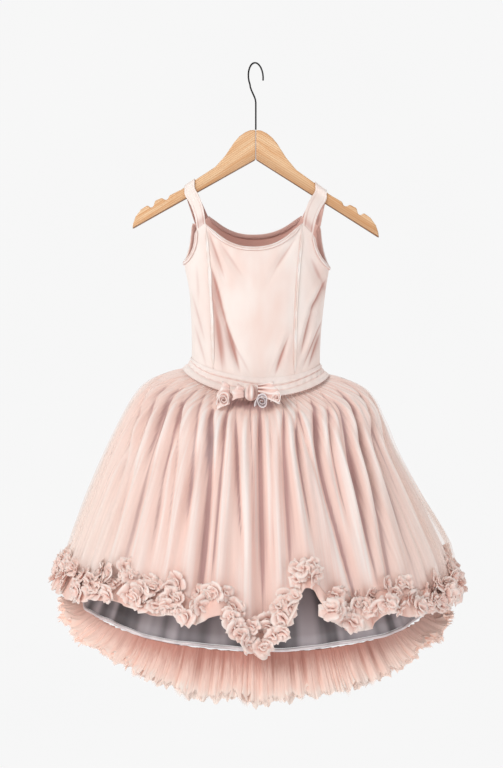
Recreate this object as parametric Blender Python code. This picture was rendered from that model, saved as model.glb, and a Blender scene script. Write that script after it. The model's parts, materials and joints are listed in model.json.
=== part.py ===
"""Child's ballet dress hanging on a wooden clothes hanger.

Lengths are in millimetres and become metres when a mesh is made. +Z is up, the front faces -Y.
The origin is the underside of the hook's crest, where the hook lies on a rod.
Angles round the dress start at the front centre and grow towards +X.
"""
import math
from collections import namedtuple

import bmesh
import bpy
from mathutils import Vector

MM = 0.001
GAP = 0.3
SEAM_GAP = 0.7
EDGE_GAP = 0.8
TURN_GAP = 1.3

# Hanger
HANGER_TILT = math.radians(2.05)
HANGER_TOP_Z = -90.7
ARM_THICK = 12.0
ARM_EDGE = 1.8
HOOK_WIRE = 1.25
HOOK_RADIUS = 19.0
HOOK_TURN = math.radians(33.0)
HOOK_TAIL_Z = -HOOK_RADIUS - 34.0

# Bodice
CLOTH = 1.5
FRONT_COLUMNS = 12
BACK_CORNER = 0.12
STRAP_CLOTH = 1.5
NECK_CENTRE_X = -3.0
NECK_HALF = 67.0
NECK_FRONT_Z = -254.5
NECK_FRONT_RISE = 34.0
NECK_BACK_Z = -237.5
NECK_BACK_RISE = 29.0
NECK_POWER = 2.3
BINDING_WIDE = 3.6
BINDING_CLOTH = 1.0
PIPING_WIDE = 4.6
PIPING_HIGH = 1.5
PIPING_GAP = 0.5

# Waist seam, sash and skirts
WAIST_HALF_WIDTH = 91.0
WAIST_DEPTH = 50.0
WAIST_Z = -426.0
WAIST_TILT = 4.5
WAIST_DIP = 25.0
DEPTH_SHARE = 0.7
SASH_CLOTH = 2.0
FOLDS = 40
FOLD_STEPS = 4
TULLE = 1.2
LINING_SIDES = 40
RIM_RADIUS = 2.0
FRILL_PLEATS = 92
FRILL_CLOTH = 1.6
FRILL_JAG = 3.0
RUFFLE_WAVES = 40
RUFFLE_CLOTH = 1.2
RUFFLE_TOP = 0.99
RUFFLE_TALL = 0.044
RUFFLE_STAND = 5.0
RUFFLE_WAVE = 3.6
ROSES = 30
ROSE_RADIUS = 18.0
ROSE_VARIES = 2.5

Arm = namedtuple("Arm", "out down")
ARM_UPPER = [
    Arm(0.3, 0.0), Arm(8.0, 0.9), Arm(15.0, 4.0), Arm(23.0, 10.0), Arm(30.0, 18.0), Arm(42.5, 37.0),
    Arm(56.5, 53.0), Arm(80.0, 69.0), Arm(104.0, 86.0), Arm(121.0, 95.0),
    Arm(123.0, 100.5), Arm(127.0, 101.5), Arm(131.5, 98.5), Arm(141.0, 103.0),
    Arm(143.5, 111.5), Arm(147.5, 113.0), Arm(151.5, 109.5), Arm(161.0, 116.0),
    Arm(168.5, 126.0), Arm(172.0, 136.0), Arm(173.0, 143.5),
]
ARM_LOWER = [Arm(0.3, 41.4)]

Ring = namedtuple("Ring", "z left right depth")
BODICE_RINGS = [
    Ring(-200.0, 106.0, 109.0, 26.0), Ring(-240.0, 104.0, 107.0, 36.0),
    Ring(-276.0, 101.0, 104.5, 42.0), Ring(-312.0, 94.0, 99.0, 45.0),
    Ring(-346.0, 91.5, 95.0, 47.0), Ring(-390.0, 90.5, 91.5, 49.0),
    Ring(-420.0, 91.0, 91.0, 50.0), Ring(-480.0, 91.0, 91.0, 50.0),
]

Edge = namedtuple("Edge", "z x")
PRINCESS_LEFT = [Edge(-219.0, -69.8), Edge(-280.0, -64.6), Edge(-344.0, -61.5), Edge(-460.0, -58.0)]
PRINCESS_RIGHT = [Edge(-219.0, 65.2), Edge(-291.0, 58.5), Edge(-344.0, 55.5), Edge(-460.0, 54.0)]
ARMHOLE_LEFT = [
    Edge(-229.0, -82.0), Edge(-238.0, -83.6), Edge(-247.0, -84.4), Edge(-255.0, -86.4),
    Edge(-263.0, -90.0), Edge(-269.0, -94.2), Edge(-272.6, -98.0), Edge(-274.2, -100.5),
    Edge(-275.0, -101.2),
]
ARMHOLE_RIGHT = [
    Edge(-236.0, 79.5), Edge(-245.0, 81.6), Edge(-254.0, 83.6), Edge(-262.0, 87.0),
    Edge(-270.0, 92.0), Edge(-276.0, 97.0), Edge(-279.6, 100.8), Edge(-281.2, 102.8),
    Edge(-282.0, 103.4),
]
BACK_ARMHOLE_LEFT = [
    Edge(-220.0, -89.0), Edge(-232.0, -90.0), Edge(-244.0, -91.2), Edge(-254.0, -92.8),
    Edge(-263.0, -95.2), Edge(-269.0, -97.6), Edge(-272.6, -99.6), Edge(-274.2, -100.7),
    Edge(-275.0, -101.2),
]
BACK_ARMHOLE_RIGHT = [
    Edge(-222.0, 90.0), Edge(-235.0, 91.4), Edge(-247.0, 93.0), Edge(-258.0, 95.0),
    Edge(-268.0, 97.8), Edge(-275.0, 100.2), Edge(-279.6, 102.2), Edge(-281.2, 103.0),
    Edge(-282.0, 103.4),
]

# Soft folds pressed into the front: from one point to another, as deep and as wide as named
Crease = namedtuple("Crease", "x0 z0 x1 z1 deep wide")
CREASES = [
    Crease(-60.0, -282.0, -26.0, -417.0, 3.2, 9.0),
    Crease(-40.0, -330.0, -8.0, -430.0, 1.8, 8.0),
    Crease(44.0, -390.0, 26.0, -430.0, 2.4, 8.0),
    Crease(52.0, -262.0, 20.0, -300.0, 1.6, 10.0),
    Crease(-56.0, -258.0, -22.0, -300.0, 1.6, 10.0),
    Crease(95.0, -316.0, 71.0, -362.0, 1.8, 6.0),
    Crease(92.0, -371.0, 68.0, -415.0, 2.0, 6.0),
]

# A strap's path over the hanger's arm, measured from the arm's upper edge
StrapStep = namedtuple("StrapStep", "rise y")
STRAP_OVER_ARM = [
    StrapStep(-9.0, -8.0), StrapStep(-0.8, -8.0), StrapStep(2.0, -5.6), StrapStep(2.4, 0.0),
    StrapStep(2.0, 5.6), StrapStep(-0.8, 8.0), StrapStep(-9.0, 8.0),
]
# Where a strap meets the front seam, the arm and the back seam, at its outer and inner edges
StrapEnds = namedtuple("StrapEnds", "outer_x outer_z inner_x inner_z")
STRAPS = {
    "left": (StrapEnds(-82.0, -228.4, -70.1, -219.2), StrapEnds(-99.5, None, -85.3, None),
             StrapEnds(-89.0, -219.2, -70.5, -208.2)),
    "right": (StrapEnds(79.5, -235.4, 65.5, -220.2), StrapEnds(99.0, None, 83.0, None),
              StrapEnds(90.0, -221.3, 65.0, -209.2)),
}
STRAP_STEPS = 4
STRAP_BOWS_OUT = 3.5
STRAP_BOWS_FORWARD = 2.5

# The outer skirt, from the waist seam to its hem. front_fall is added in front.
Flare = namedtuple("Flare", "half_width fall front_fall fold")
OVERSKIRT = [
    Flare(91.0, 0.0, 0.0, 1.0), Flare(99.0, 3.0, 8.0, 1.4), Flare(125.0, 9.0, 12.0, 3.0),
    Flare(160.0, 28.0, 10.0, 5.0), Flare(191.0, 79.0, 6.0, 7.5), Flare(229.0, 160.0, 3.0, 9.5),
    Flare(276.0, 278.0, 0.0, 11.5),
]
LINING = [
    Flare(91.0, 0.6, 0.0, 0.0), Flare(95.0, 12.0, 9.0, 0.4), Flare(142.0, 80.0, 6.0, 1.5),
    Flare(196.0, 205.0, 3.0, 3.0), Flare(250.0, 332.0, 0.0, 3.5),
]
LINING_PUSH = -2.7
LINING_WAVES = 9
FRILL = [Flare(250.0, 331.6, 0.0, 2.0), Flare(270.0, 339.0, 29.0, 4.2), Flare(290.0, 347.0, 55.0, 5.5)]

# Hem of the outer skirt: at each angle in degrees, how far it hangs below its usual length
HemPoint = namedtuple("HemPoint", "degrees lower")
HEM = [
    HemPoint(-180.0, 8.0), HemPoint(-164.0, -14.0), HemPoint(-146.0, 6.0), HemPoint(-130.0, -12.0),
    HemPoint(-112.0, 4.0), HemPoint(-90.0, 16.0), HemPoint(-64.0, 6.0), HemPoint(-40.0, -14.0),
    HemPoint(-29.0, -8.0), HemPoint(-21.0, -11.0), HemPoint(-16.0, -2.0), HemPoint(-9.6, -18.0),
    HemPoint(-5.0, 12.0), HemPoint(1.5, 36.0), HemPoint(6.0, 12.0), HemPoint(14.0, -51.0),
    HemPoint(20.0, -13.0), HemPoint(25.5, 7.0), HemPoint(32.0, 8.0), HemPoint(37.0, -8.0),
    HemPoint(48.0, 5.0), HemPoint(64.0, 12.0), HemPoint(90.0, 16.0), HemPoint(110.0, -6.0),
    HemPoint(128.0, 10.0), HemPoint(146.0, -12.0), HemPoint(163.0, 8.0), HemPoint(180.0, 8.0),
]

COLOURS = {
    "wood": (0.80, 0.55, 0.32), "wire": (0.03, 0.03, 0.03), "satin": (0.89, 0.74, 0.69),
    "binding": (0.94, 0.87, 0.83), "sash": (0.92, 0.79, 0.74), "tulle": (0.87, 0.64, 0.58),
    "grey_satin": (0.42, 0.40, 0.42), "rim": (0.82, 0.76, 0.79), "net": (0.84, 0.55, 0.46),
    "chiffon": (0.90, 0.70, 0.64), "bow": (0.82, 0.60, 0.55), "spiral": (0.72, 0.65, 0.66),
}


def mix(low, high, share):
    """The value that lies the given share of the way from low to high."""
    return low + (high - low) * share


def read_table(rows, key, value, at):
    """Read a column of a table at a place between its rows, and carry its ends on straight."""
    ordered = sorted(rows, key=lambda row: getattr(row, key))
    for low, high in zip(ordered[:-1], ordered[1:]):
        if at <= getattr(high, key):
            break
    span = getattr(high, key) - getattr(low, key)
    share = (at - getattr(low, key)) / span
    return mix(getattr(low, value), getattr(high, value), share)


def soft_table(rows, key, value, at):
    """As read_table, eased between rows so that the line has no corners."""
    ordered = sorted(rows, key=lambda row: getattr(row, key))
    for low, high in zip(ordered[:-1], ordered[1:]):
        if at <= getattr(high, key):
            break
    share = (at - getattr(low, key)) / (getattr(high, key) - getattr(low, key))
    share = min(max(share, 0.0), 1.0)
    return mix(getattr(low, value), getattr(high, value), share * share * (3.0 - 2.0 * share))


def material(name):
    """A plain surface in one of the named colours."""
    found = bpy.data.materials.get(name)
    if found:
        return found
    made = bpy.data.materials.new(name)
    made.use_nodes = True
    shader = made.node_tree.nodes["Principled BSDF"]
    shader.inputs["Base Color"].default_value = (*COLOURS[name], 1.0)
    shader.inputs["Roughness"].default_value = 0.3 if name == "wire" else 0.65
    shader.inputs["Metallic"].default_value = 1.0 if name == "wire" else 0.0
    return made


def add_solid(name, points, faces, colour):
    """Make one closed body from points in millimetres, with its faces pointing out."""
    shape = bmesh.new()
    corners = [shape.verts.new(Vector(point) * MM) for point in points]
    for face in faces:
        shape.faces.new([corners[index] for index in face])
    bmesh.ops.recalc_face_normals(shape, faces=shape.faces)
    mesh = bpy.data.meshes.new(name)
    shape.to_mesh(mesh)
    shape.free()
    mesh.materials.append(material(colour))
    mesh.shade_smooth()
    piece = bpy.data.objects.new(name, mesh)
    bpy.context.scene.collection.objects.link(piece)
    return piece


def add_wall(name, outer, inner, closed, colour):
    """Close the space between two grids of points. closed joins the last column to the first."""
    rows, columns = len(outer), len(outer[0])
    points = [point for row in outer for point in row] + [point for row in inner for point in row]
    side = rows * columns
    steps = columns if closed else columns - 1
    faces = []
    for row in range(rows - 1):
        for column in range(steps):
            following = (column + 1) % columns
            corners = [row * columns + column, row * columns + following,
                       (row + 1) * columns + following, (row + 1) * columns + column]
            faces.append(corners)
            faces.append([side + index for index in reversed(corners)])
    for column in range(steps):
        following = (column + 1) % columns
        for row in (0, rows - 1):
            first, second = row * columns + column, row * columns + following
            faces.append([first, second, side + second, side + first])
    if not closed:
        for row in range(rows - 1):
            for column in (0, columns - 1):
                first, second = row * columns + column, (row + 1) * columns + column
                faces.append([first, second, side + second, side + first])
    return add_solid(name, points, faces, colour)


def grid_normals(grid, closed):
    """Outward directions of a grid whose rows run down and whose columns run to the right."""
    rows, columns = len(grid), len(grid[0])
    normals = []
    for row in range(rows):
        above, below = grid[max(row - 1, 0)], grid[min(row + 1, rows - 1)]
        line = []
        for column in range(columns):
            if closed:
                before, after = (column - 1) % columns, (column + 1) % columns
            else:
                before, after = max(column - 1, 0), min(column + 1, columns - 1)
            along = grid[row][after] - grid[row][before]
            down = below[column] - above[column]
            line.append(down.cross(along).normalized())
        normals.append(line)
    return normals


def wall_from_grid(name, grid, thick, closed, colour):
    """A wall whose outer side is the grid and whose inner side lies thick behind it."""
    normals = grid_normals(grid, closed)
    inner = [[point - normal * thick for point, normal in zip(points, line)]
             for points, line in zip(grid, normals)]
    return add_wall(name, grid, inner, closed, colour)


def wall_from_surface(name, surface, places, low, high, closed, colour):
    """A wall between two distances from a surface, at a grid of places on it."""
    outer = [[surface(u, v, high) for u, v in row] for row in places]
    inner = [[surface(u, v, low) for u, v in row] for row in places]
    return add_wall(name, outer, inner, closed, colour)


def waist_z(angle):
    """Height of the waist seam, which dips in front and hangs lower on the right."""
    front = max(0.0, math.cos(angle))
    return WAIST_Z - WAIST_TILT * math.sin(angle) - WAIST_DIP * front ** 1.5


def bodice_half_width(z, sign):
    """Half width of the bodice at a height, on its left or right side."""
    return read_table(BODICE_RINGS, "z", "right" if sign > 0 else "left", z)


def crease_depth(x, z):
    """How far the soft folds press the front in at a point."""
    total = 0.0
    for fold in CREASES:
        along = Vector((fold.x1 - fold.x0, fold.z1 - fold.z0))
        to_point = Vector((x - fold.x0, z - fold.z0))
        share = min(max(to_point.dot(along) / along.length_squared, 0.0), 1.0)
        distance = (to_point - along * share).length
        fade = math.sin(math.pi * mix(0.12, 0.95, share))
        total += fold.deep * fade * math.exp(-(distance / fold.wide) ** 2)
    return total


def bodice_base(angle, z):
    """A point on the bodice's outer side."""
    x = bodice_half_width(z, math.sin(angle)) * math.sin(angle)
    depth = read_table(BODICE_RINGS, "z", "depth", z)
    y = -depth * math.cos(angle)
    if math.cos(angle) > 0.0:
        y += crease_depth(x, z) * math.cos(angle)
    return Vector((x, y, z))


def bodice(angle, z, out):
    """A point at a distance out from the bodice's outer side."""
    step, drop = 0.01, 1.0
    along = bodice_base(angle + step, z) - bodice_base(angle - step, z)
    down = bodice_base(angle, z - drop) - bodice_base(angle, z + drop)
    return bodice_base(angle, z) + down.cross(along).normalized() * out


def front_angle(x, z):
    """Angle of the front point that lies at x."""
    return math.asin(min(max(x / bodice_half_width(z, x), -1.0), 1.0))


def arc_rate(angle, z):
    """Length along the bodice for one radian of angle."""
    step = 0.01
    return (bodice_base(angle + step, z) - bodice_base(angle - step, z)).length / (2.0 * step)


def neckline(x, lowest, rise):
    """Height of a neckline at x."""
    return lowest + rise * abs((x - NECK_CENTRE_X) / NECK_HALF) ** NECK_POWER


def seam_x(table, z, side):
    """The x of a seam, moved by half the seam gap towards +X or -X."""
    return read_table(table, "z", "x", z) + side * GAP / 2.0


def make_front_centre():
    """The front between the two princess seams, up to the neckline."""
    columns, rows = FRONT_COLUMNS, 9
    places = []
    for row in range(rows):
        line = []
        for column in range(columns + 1):
            across = column / columns
            top_x = mix(seam_x(PRINCESS_LEFT, -220.0, 1), seam_x(PRINCESS_RIGHT, -220.0, -1), across)
            top_z = neckline(top_x, NECK_FRONT_Z, NECK_FRONT_RISE)
            bottom_z = waist_z(front_angle(top_x * 0.88, WAIST_Z)) + SEAM_GAP
            z = mix(top_z, bottom_z, row / (rows - 1))
            x = mix(seam_x(PRINCESS_LEFT, z, 1), seam_x(PRINCESS_RIGHT, z, -1), across)
            line.append((front_angle(x, z), z))
        places.append(line)
    wall_from_surface("front_centre", bodice, places, -CLOTH, 0.0, False, "satin")


def side_levels(armhole, waist, below):
    """Heights down an armhole and then down the side seam to the waist."""
    under = armhole[-1].z
    return [edge.z for edge in armhole] + [mix(under, waist, (step + 1) / below) for step in range(below)]


def side_edge_angle(armhole, z, sign, back):
    """Angle of the armhole's edge or, below it, of the side seam."""
    quarter = math.pi / 2.0
    shift = GAP / 2.0 / arc_rate(quarter * sign, z)
    if z <= armhole[-1].z:
        return sign * (quarter + shift if back else quarter - shift)
    x = read_table(armhole, "z", "x", z)
    front = min(abs(front_angle(x, z)), quarter - shift)
    return sign * (math.pi - front if back else front)


def make_front_side(side):
    """The panel from a princess seam to the side seam, up to the strap and the armhole."""
    sign = -1 if side == "left" else 1
    princess = PRINCESS_LEFT if sign < 0 else PRINCESS_RIGHT
    armhole = ARMHOLE_LEFT if sign < 0 else ARMHOLE_RIGHT
    top_inner = STRAPS[side][0].inner_z - GAP
    waist_outer = waist_z(sign * math.pi / 2.0) + SEAM_GAP
    columns = 5
    places = []
    for z_outer in side_levels(armhole, waist_outer, 5):
        share = (z_outer - armhole[0].z) / (waist_outer - armhole[0].z)
        seam = front_angle(read_table(princess, "z", "x", WAIST_Z), WAIST_Z)
        z_inner = mix(top_inner, waist_z(seam) + SEAM_GAP, share)
        inner = front_angle(seam_x(princess, z_inner, sign), z_inner)
        outer = side_edge_angle(armhole, z_outer, sign, False)
        line = []
        for column in range(columns + 1):
            across = column / columns
            angle, z = mix(inner, outer, across), mix(z_inner, z_outer, across)
            if share == 1.0:
                z = waist_z(angle) + SEAM_GAP
            line.append((angle, z))
        places.append(line if sign > 0 else line[::-1])
    wall_from_surface("front_side_" + side, bodice, places, -CLOTH, 0.0, False, "satin")


# Shares of the back's top edge at which its columns stand, closer together at the strap seams
BACK_SHARES = [
    0.0, 0.04, 0.08, 0.12, 0.2, 0.28, 0.36, 0.44, 0.5, 0.56, 0.64, 0.72, 0.8, 0.88, 0.92, 0.96, 1.0,
]


def back_top(share):
    """Place on the back's top edge, from the left strap's outer end to the right one's."""
    left, right = STRAPS["left"][2], STRAPS["right"][2]
    corner = BACK_CORNER
    if share < corner:
        part = share / corner
        x, z = mix(left.outer_x, left.inner_x, part), mix(left.outer_z, left.inner_z, part) - EDGE_GAP
    elif share > 1.0 - corner:
        part = (1.0 - share) / corner
        x, z = mix(right.outer_x, right.inner_x, part), mix(right.outer_z, right.inner_z, part) - EDGE_GAP
    else:
        part = (share - corner) / (1.0 - 2.0 * corner)
        x = mix(left.inner_x, right.inner_x, part)
        z = neckline(x, NECK_BACK_Z, NECK_BACK_RISE)
    return x, z


def back_angle(x, z):
    """Angle of the back point that lies at x, growing from the left side round to the right."""
    return math.pi + front_angle(-x, z)


def make_back():
    """The back in one piece, from side seam to side seam."""
    left_levels = side_levels(BACK_ARMHOLE_LEFT, waist_z(-math.pi / 2.0) + SEAM_GAP, 4)
    right_levels = side_levels(BACK_ARMHOLE_RIGHT, waist_z(math.pi / 2.0) + SEAM_GAP, 4)
    tops = [back_top(share) for share in BACK_SHARES]
    count = len(left_levels)
    places = []
    for row in range(count):
        left = side_edge_angle(BACK_ARMHOLE_LEFT, left_levels[row], -1, True)
        right = side_edge_angle(BACK_ARMHOLE_RIGHT, right_levels[row], 1, True)
        start, end = right, 2.0 * math.pi + left
        line = []
        for share, (x, top_z) in zip(reversed(BACK_SHARES), reversed(tops)):
            around = 1.0 - share
            down = row / (count - 1)
            top_angle = back_angle(x, top_z)
            even = mix(start, end, around)
            angle = mix(top_angle, even, min(1.0, down * 1.6))
            edge_z = mix(right_levels[row], left_levels[row], around)
            near_side = abs(2.0 * around - 1.0)
            low = waist_z(angle) + SEAM_GAP
            z = mix(mix(top_z, low, down), edge_z, near_side ** 6)
            if around in (0.0, 1.0):
                angle, z = (start if around == 0.0 else end), edge_z
            if row == count - 1:
                z = low
            line.append((angle, z))
        places.append(line)
    wall_from_surface("back", bodice, places, -CLOTH, 0.0, False, "satin")


def bound_edge(name, path, side):
    """A binding folded over an edge. path holds (angle, z); side says where the panel lies."""
    near, far = EDGE_GAP + BINDING_CLOTH, -CLOTH - EDGE_GAP - BINDING_CLOTH
    over = TURN_GAP + BINDING_CLOTH
    profile = [
        (-BINDING_WIDE, EDGE_GAP), (-BINDING_WIDE, near), (over, near), (over, far),
        (-BINDING_WIDE, far), (-BINDING_WIDE, far + BINDING_CLOTH),
        (TURN_GAP, far + BINDING_CLOTH), (TURN_GAP, EDGE_GAP),
    ]
    rings = []
    for index, (angle, z) in enumerate(path):
        before, after = path[max(index - 1, 0)], path[min(index + 1, len(path) - 1)]
        rate = arc_rate(angle, z)
        run = Vector(((after[0] - before[0]) * rate, after[1] - before[1])).normalized()
        across = Vector((-run.y, run.x)) * side
        rings.append([bodice(angle + across.x * off / rate, z + across.y * off, out) for off, out in profile])
    add_sweep(name, rings, "binding")


def add_sweep(name, rings, colour):
    """Join rings of points one after another, and close both ends."""
    size = len(rings[0])
    points = [point for ring in rings for point in ring]
    faces = []
    for ring in range(len(rings) - 1):
        for corner in range(size):
            following = (corner + 1) % size
            faces.append([ring * size + corner, ring * size + following,
                          (ring + 1) * size + following, (ring + 1) * size + corner])
    last = (len(rings) - 1) * size
    faces.append(list(range(size)))
    faces.append([last + corner for corner in range(size)])
    return add_solid(name, points, faces, colour)


def make_neck_bindings():
    """Bindings along the front and back necklines."""
    front = []
    for step in range(FRONT_COLUMNS + 1):
        x = mix(PRINCESS_LEFT[0].x, PRINCESS_RIGHT[0].x, step / FRONT_COLUMNS)
        x = min(max(x, PRINCESS_LEFT[0].x + 2.5), PRINCESS_RIGHT[0].x - 2.5)
        z = neckline(x, NECK_FRONT_Z, NECK_FRONT_RISE)
        front.append((front_angle(x, z), z))
    bound_edge("neck_binding_front", front, 1)
    shares = [share for share in BACK_SHARES if BACK_CORNER <= share <= 1.0 - BACK_CORNER]
    shares[0] += 0.01
    shares[-1] -= 0.01
    back = []
    for share in reversed(shares):
        x, z = back_top(share)
        back.append((back_angle(x, z), z))
    bound_edge("neck_binding_back", back, 1)


def make_armhole_binding(side):
    """Binding round an armhole, from the strap's front seam under the arm to its back seam."""
    sign = -1 if side == "left" else 1
    front = ARMHOLE_LEFT if sign < 0 else ARMHOLE_RIGHT
    back = BACK_ARMHOLE_LEFT if sign < 0 else BACK_ARMHOLE_RIGHT
    quarter = math.pi / 2.0
    path = [(side_edge_angle(front, edge.z, sign, False), edge.z) for edge in front[:-1]]
    path.append((sign * quarter, front[-1].z))
    for edge in reversed(back[:-1]):
        path.append((side_edge_angle(back, edge.z, sign, True), edge.z))
    bound_edge("armhole_binding_" + side, path, sign)


def make_piping(side):
    """Doubled piping that covers a princess seam."""
    table = PRINCESS_LEFT if side == "left" else PRINCESS_RIGHT
    half = PIPING_WIDE / 2.0
    high = PIPING_GAP + PIPING_HIGH
    profile = [(-half, PIPING_GAP), (-half * 0.6, high), (0.0, PIPING_GAP + PIPING_HIGH * 0.5),
               (half * 0.6, high), (half, PIPING_GAP)]
    rings = []
    steps = 10
    top = neckline(table[0].x, NECK_FRONT_Z, NECK_FRONT_RISE) - 11.0
    bottom = waist_z(front_angle(table[-1].x, WAIST_Z)) + 24.0
    for step in range(steps + 1):
        z = mix(top, bottom, step / steps)
        centre = front_angle(read_table(table, "z", "x", z), z)
        rate = arc_rate(centre, z)
        rings.append([bodice(centre + off / rate, z, out) for off, out in profile])
    add_sweep("piping_" + side, rings, "binding")


def arm_outline(sign):
    """Outline of one hanger arm in the plane of the hanger: the left one lies higher than the right."""
    return [(sign * row.out, HANGER_TOP_Z - row.down - sign * row.out * math.tan(HANGER_TILT))
            for row in ARM_UPPER + ARM_LOWER]


def arm_top(x):
    """Height of the hanger's upper edge at x."""
    edge = [Edge(z, abs(along)) for along, z in arm_outline(1 if x > 0 else -1)[:len(ARM_UPPER)]]
    return read_table(edge, "x", "z", abs(x))


def make_hanger_arm(side):
    """One wooden arm: its outline made thick, with rounded edges."""
    sign = -1 if side == "left" else 1
    outline = arm_outline(sign)
    front = [Vector((x, -ARM_THICK / 2.0, z)) for x, z in outline]
    back = [Vector((x, ARM_THICK / 2.0, z)) for x, z in outline]
    arm = add_sweep("hanger_arm_" + side, [front, back], "wood")
    rounded = arm.modifiers.new("rounded edges", "BEVEL")
    rounded.width = ARM_EDGE * MM
    rounded.segments = 2
    rounded.limit_method = "ANGLE"
    rounded.angle_limit = math.radians(40.0)
    rounded.use_clamp_overlap = True


def make_hook():
    """The wire hook, from its tip behind the rod over the crest and down into the hanger."""
    forward = Vector((-math.sin(HOOK_TURN), -math.cos(HOOK_TURN), 0.0))
    centre_z = HOOK_WIRE - HOOK_RADIUS
    path = []
    for step in range(17):
        turn = math.radians(mix(-100.0, 128.0, step / 16))
        height = centre_z + HOOK_RADIUS * math.cos(turn)
        path.append(forward * HOOK_RADIUS * math.sin(turn) + Vector((0.0, 0.0, height)))
    leave = path[-1]
    for step in range(1, 7):
        share = step / 6
        eased = share * share * (3.0 - 2.0 * share)
        level = leave.z + (HOOK_TAIL_Z - leave.z) * share
        reach = leave.dot(forward) * (1.0 - eased)
        path.append(forward * reach + Vector((0.0, 0.0, level)))
    path.append(Vector((0.0, 0.0, HANGER_TOP_Z + GAP)))
    curve = bpy.data.curves.new("hanger_hook", "CURVE")
    curve.dimensions = "3D"
    curve.bevel_depth = HOOK_WIRE * MM
    curve.bevel_resolution = 1
    curve.use_fill_caps = True
    line = curve.splines.new("POLY")
    line.points.add(len(path) - 1)
    for point, place in zip(line.points, path):
        point.co = (*(place * MM), 1.0)
    curve.materials.append(material("wire"))
    hook = bpy.data.objects.new("hanger_hook", curve)
    bpy.context.scene.collection.objects.link(hook)


def make_strap(side):
    """A strap from its front seam up over the hanger's arm and down to its back seam."""
    front, top, back = STRAPS[side]

    def seam_point(x, z, is_back):
        angle = back_angle(x, z) if is_back else front_angle(x, z)
        return bodice(angle, z, 0.0)

    def column(outer):
        """Points of one edge of the strap, from the front seam to the back seam."""
        name = "outer" if outer else "inner"
        front_x, front_z = getattr(front, name + "_x"), getattr(front, name + "_z")
        back_x, back_z = getattr(back, name + "_x"), getattr(back, name + "_z")
        top_x = getattr(top, name + "_x")
        over = [Vector((top_x, step.y, arm_top(top_x) + step.rise)) for step in STRAP_OVER_ARM]
        low_front, low_back = seam_point(front_x, front_z, False), seam_point(back_x, back_z, True)
        rising = [low_front.lerp(over[0], step / STRAP_STEPS) for step in range(STRAP_STEPS)]
        falling = [over[-1].lerp(low_back, (step + 1) / STRAP_STEPS) for step in range(STRAP_STEPS)]
        for index, point in enumerate(rising):
            share = index / STRAP_STEPS
            point.x -= math.copysign(STRAP_BOWS_OUT, top_x) * math.sin(math.pi * share)
            point.y -= STRAP_BOWS_FORWARD * math.sin(math.pi * share)
        return rising + over + falling

    edges = [column(side == "left"), column(side != "left")]
    outside = [[left, left.lerp(right, 0.5), right] for left, right in zip(*edges)]
    inward = grid_normals(outside, False)
    seams = [(front_angle(front.outer_x, front.outer_z), front.outer_z),
             (back_angle(back.outer_x, back.outer_z), back.outer_z)]
    for row, (angle, z) in zip((0, -1), seams):
        inward[row] = [bodice(angle, z, -1.0) - bodice(angle, z, 0.0)] * 3
    inside = [[point + direction * STRAP_CLOTH for point, direction in zip(points, line)]
              for points, line in zip(outside, inward)]
    add_wall("strap_" + side, outside, inside, False, "satin")


def ring_point(angle, half_width, z, push):
    """A point of a skirt's oval section, pushed out across it."""
    depth = WAIST_DEPTH + DEPTH_SHARE * (half_width - WAIST_HALF_WIDTH)
    x, y = half_width * math.sin(angle), -depth * math.cos(angle)
    out = Vector((math.sin(angle) / half_width, -math.cos(angle) / depth)).normalized()
    return Vector((x + push * out.x, y + push * out.y, z))


def flare_at(table, share):
    """Section of a skirt at a share of its length, between two rows of its table or past the last."""
    place = share * (len(table) - 1)
    low = min(int(place), len(table) - 2)
    return Flare(*[mix(a, b, place - low) for a, b in zip(table[low], table[low + 1])])


def fold_wave(angle):
    """Height of the outer skirt's folds, from -1 in a valley to 1 on a ridge, uneven all round."""
    phase = FOLDS * angle + 1.1 * math.sin(3.0 * angle + 0.6) + 0.7 * math.sin(7.0 * angle + 2.0)
    depth = 1.0 + 0.22 * math.sin(5.0 * angle + 1.0) + 0.16 * math.sin(11.0 * angle)
    return math.cos(phase) * depth / 1.38


def overskirt_base(angle, share):
    """A point on the outer skirt. share runs from 0 at the waist to 1 at the hem."""
    section = flare_at(OVERSKIRT, share)
    front = max(0.0, math.cos(angle))
    degrees = math.degrees(math.atan2(math.sin(angle), math.cos(angle)))
    lower = soft_table(HEM, "degrees", "lower", degrees)
    fall = section.fall * (1.0 + lower / OVERSKIRT[-1].fall) + section.front_fall * front
    return ring_point(angle, section.half_width, waist_z(angle) - fall, fold_wave(angle) * section.fold)


def overskirt(angle, share, out):
    """A point at a distance out from the outer skirt's outer side."""
    turn, step = 0.004, 0.004
    along = overskirt_base(angle + turn, share) - overskirt_base(angle - turn, share)
    down = overskirt_base(angle, share + step) - overskirt_base(angle, max(share - step, 0.0))
    return overskirt_base(angle, share) + down.cross(along).normalized() * out


def skirt_angles(count):
    """Evenly spaced angles all round."""
    return [2.0 * math.pi * index / count for index in range(count)]


def make_overskirt():
    """The tulle skirt, gathered at the waist and folded all the way down."""
    angles = skirt_angles(FOLDS * FOLD_STEPS)
    shares = [index / (len(OVERSKIRT) - 1) for index in range(len(OVERSKIRT))]
    places = [[(angle, share) for angle in angles] for share in shares]
    wall_from_surface("overskirt", overskirt, places, -TULLE, 0.0, True, "tulle")


def ruffle(angle, share, out):
    """A point out from the hem ruffle's outer side, from 0 at its sewn top to 1 at its free edge."""
    wave = math.sin(RUFFLE_WAVES * angle + 0.5 * math.sin(5.0 * angle))
    lift = EDGE_GAP + RUFFLE_CLOTH + share * (RUFFLE_STAND + RUFFLE_WAVE * wave)
    return overskirt(angle, RUFFLE_TOP + share * RUFFLE_TALL, lift + out)


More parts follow.
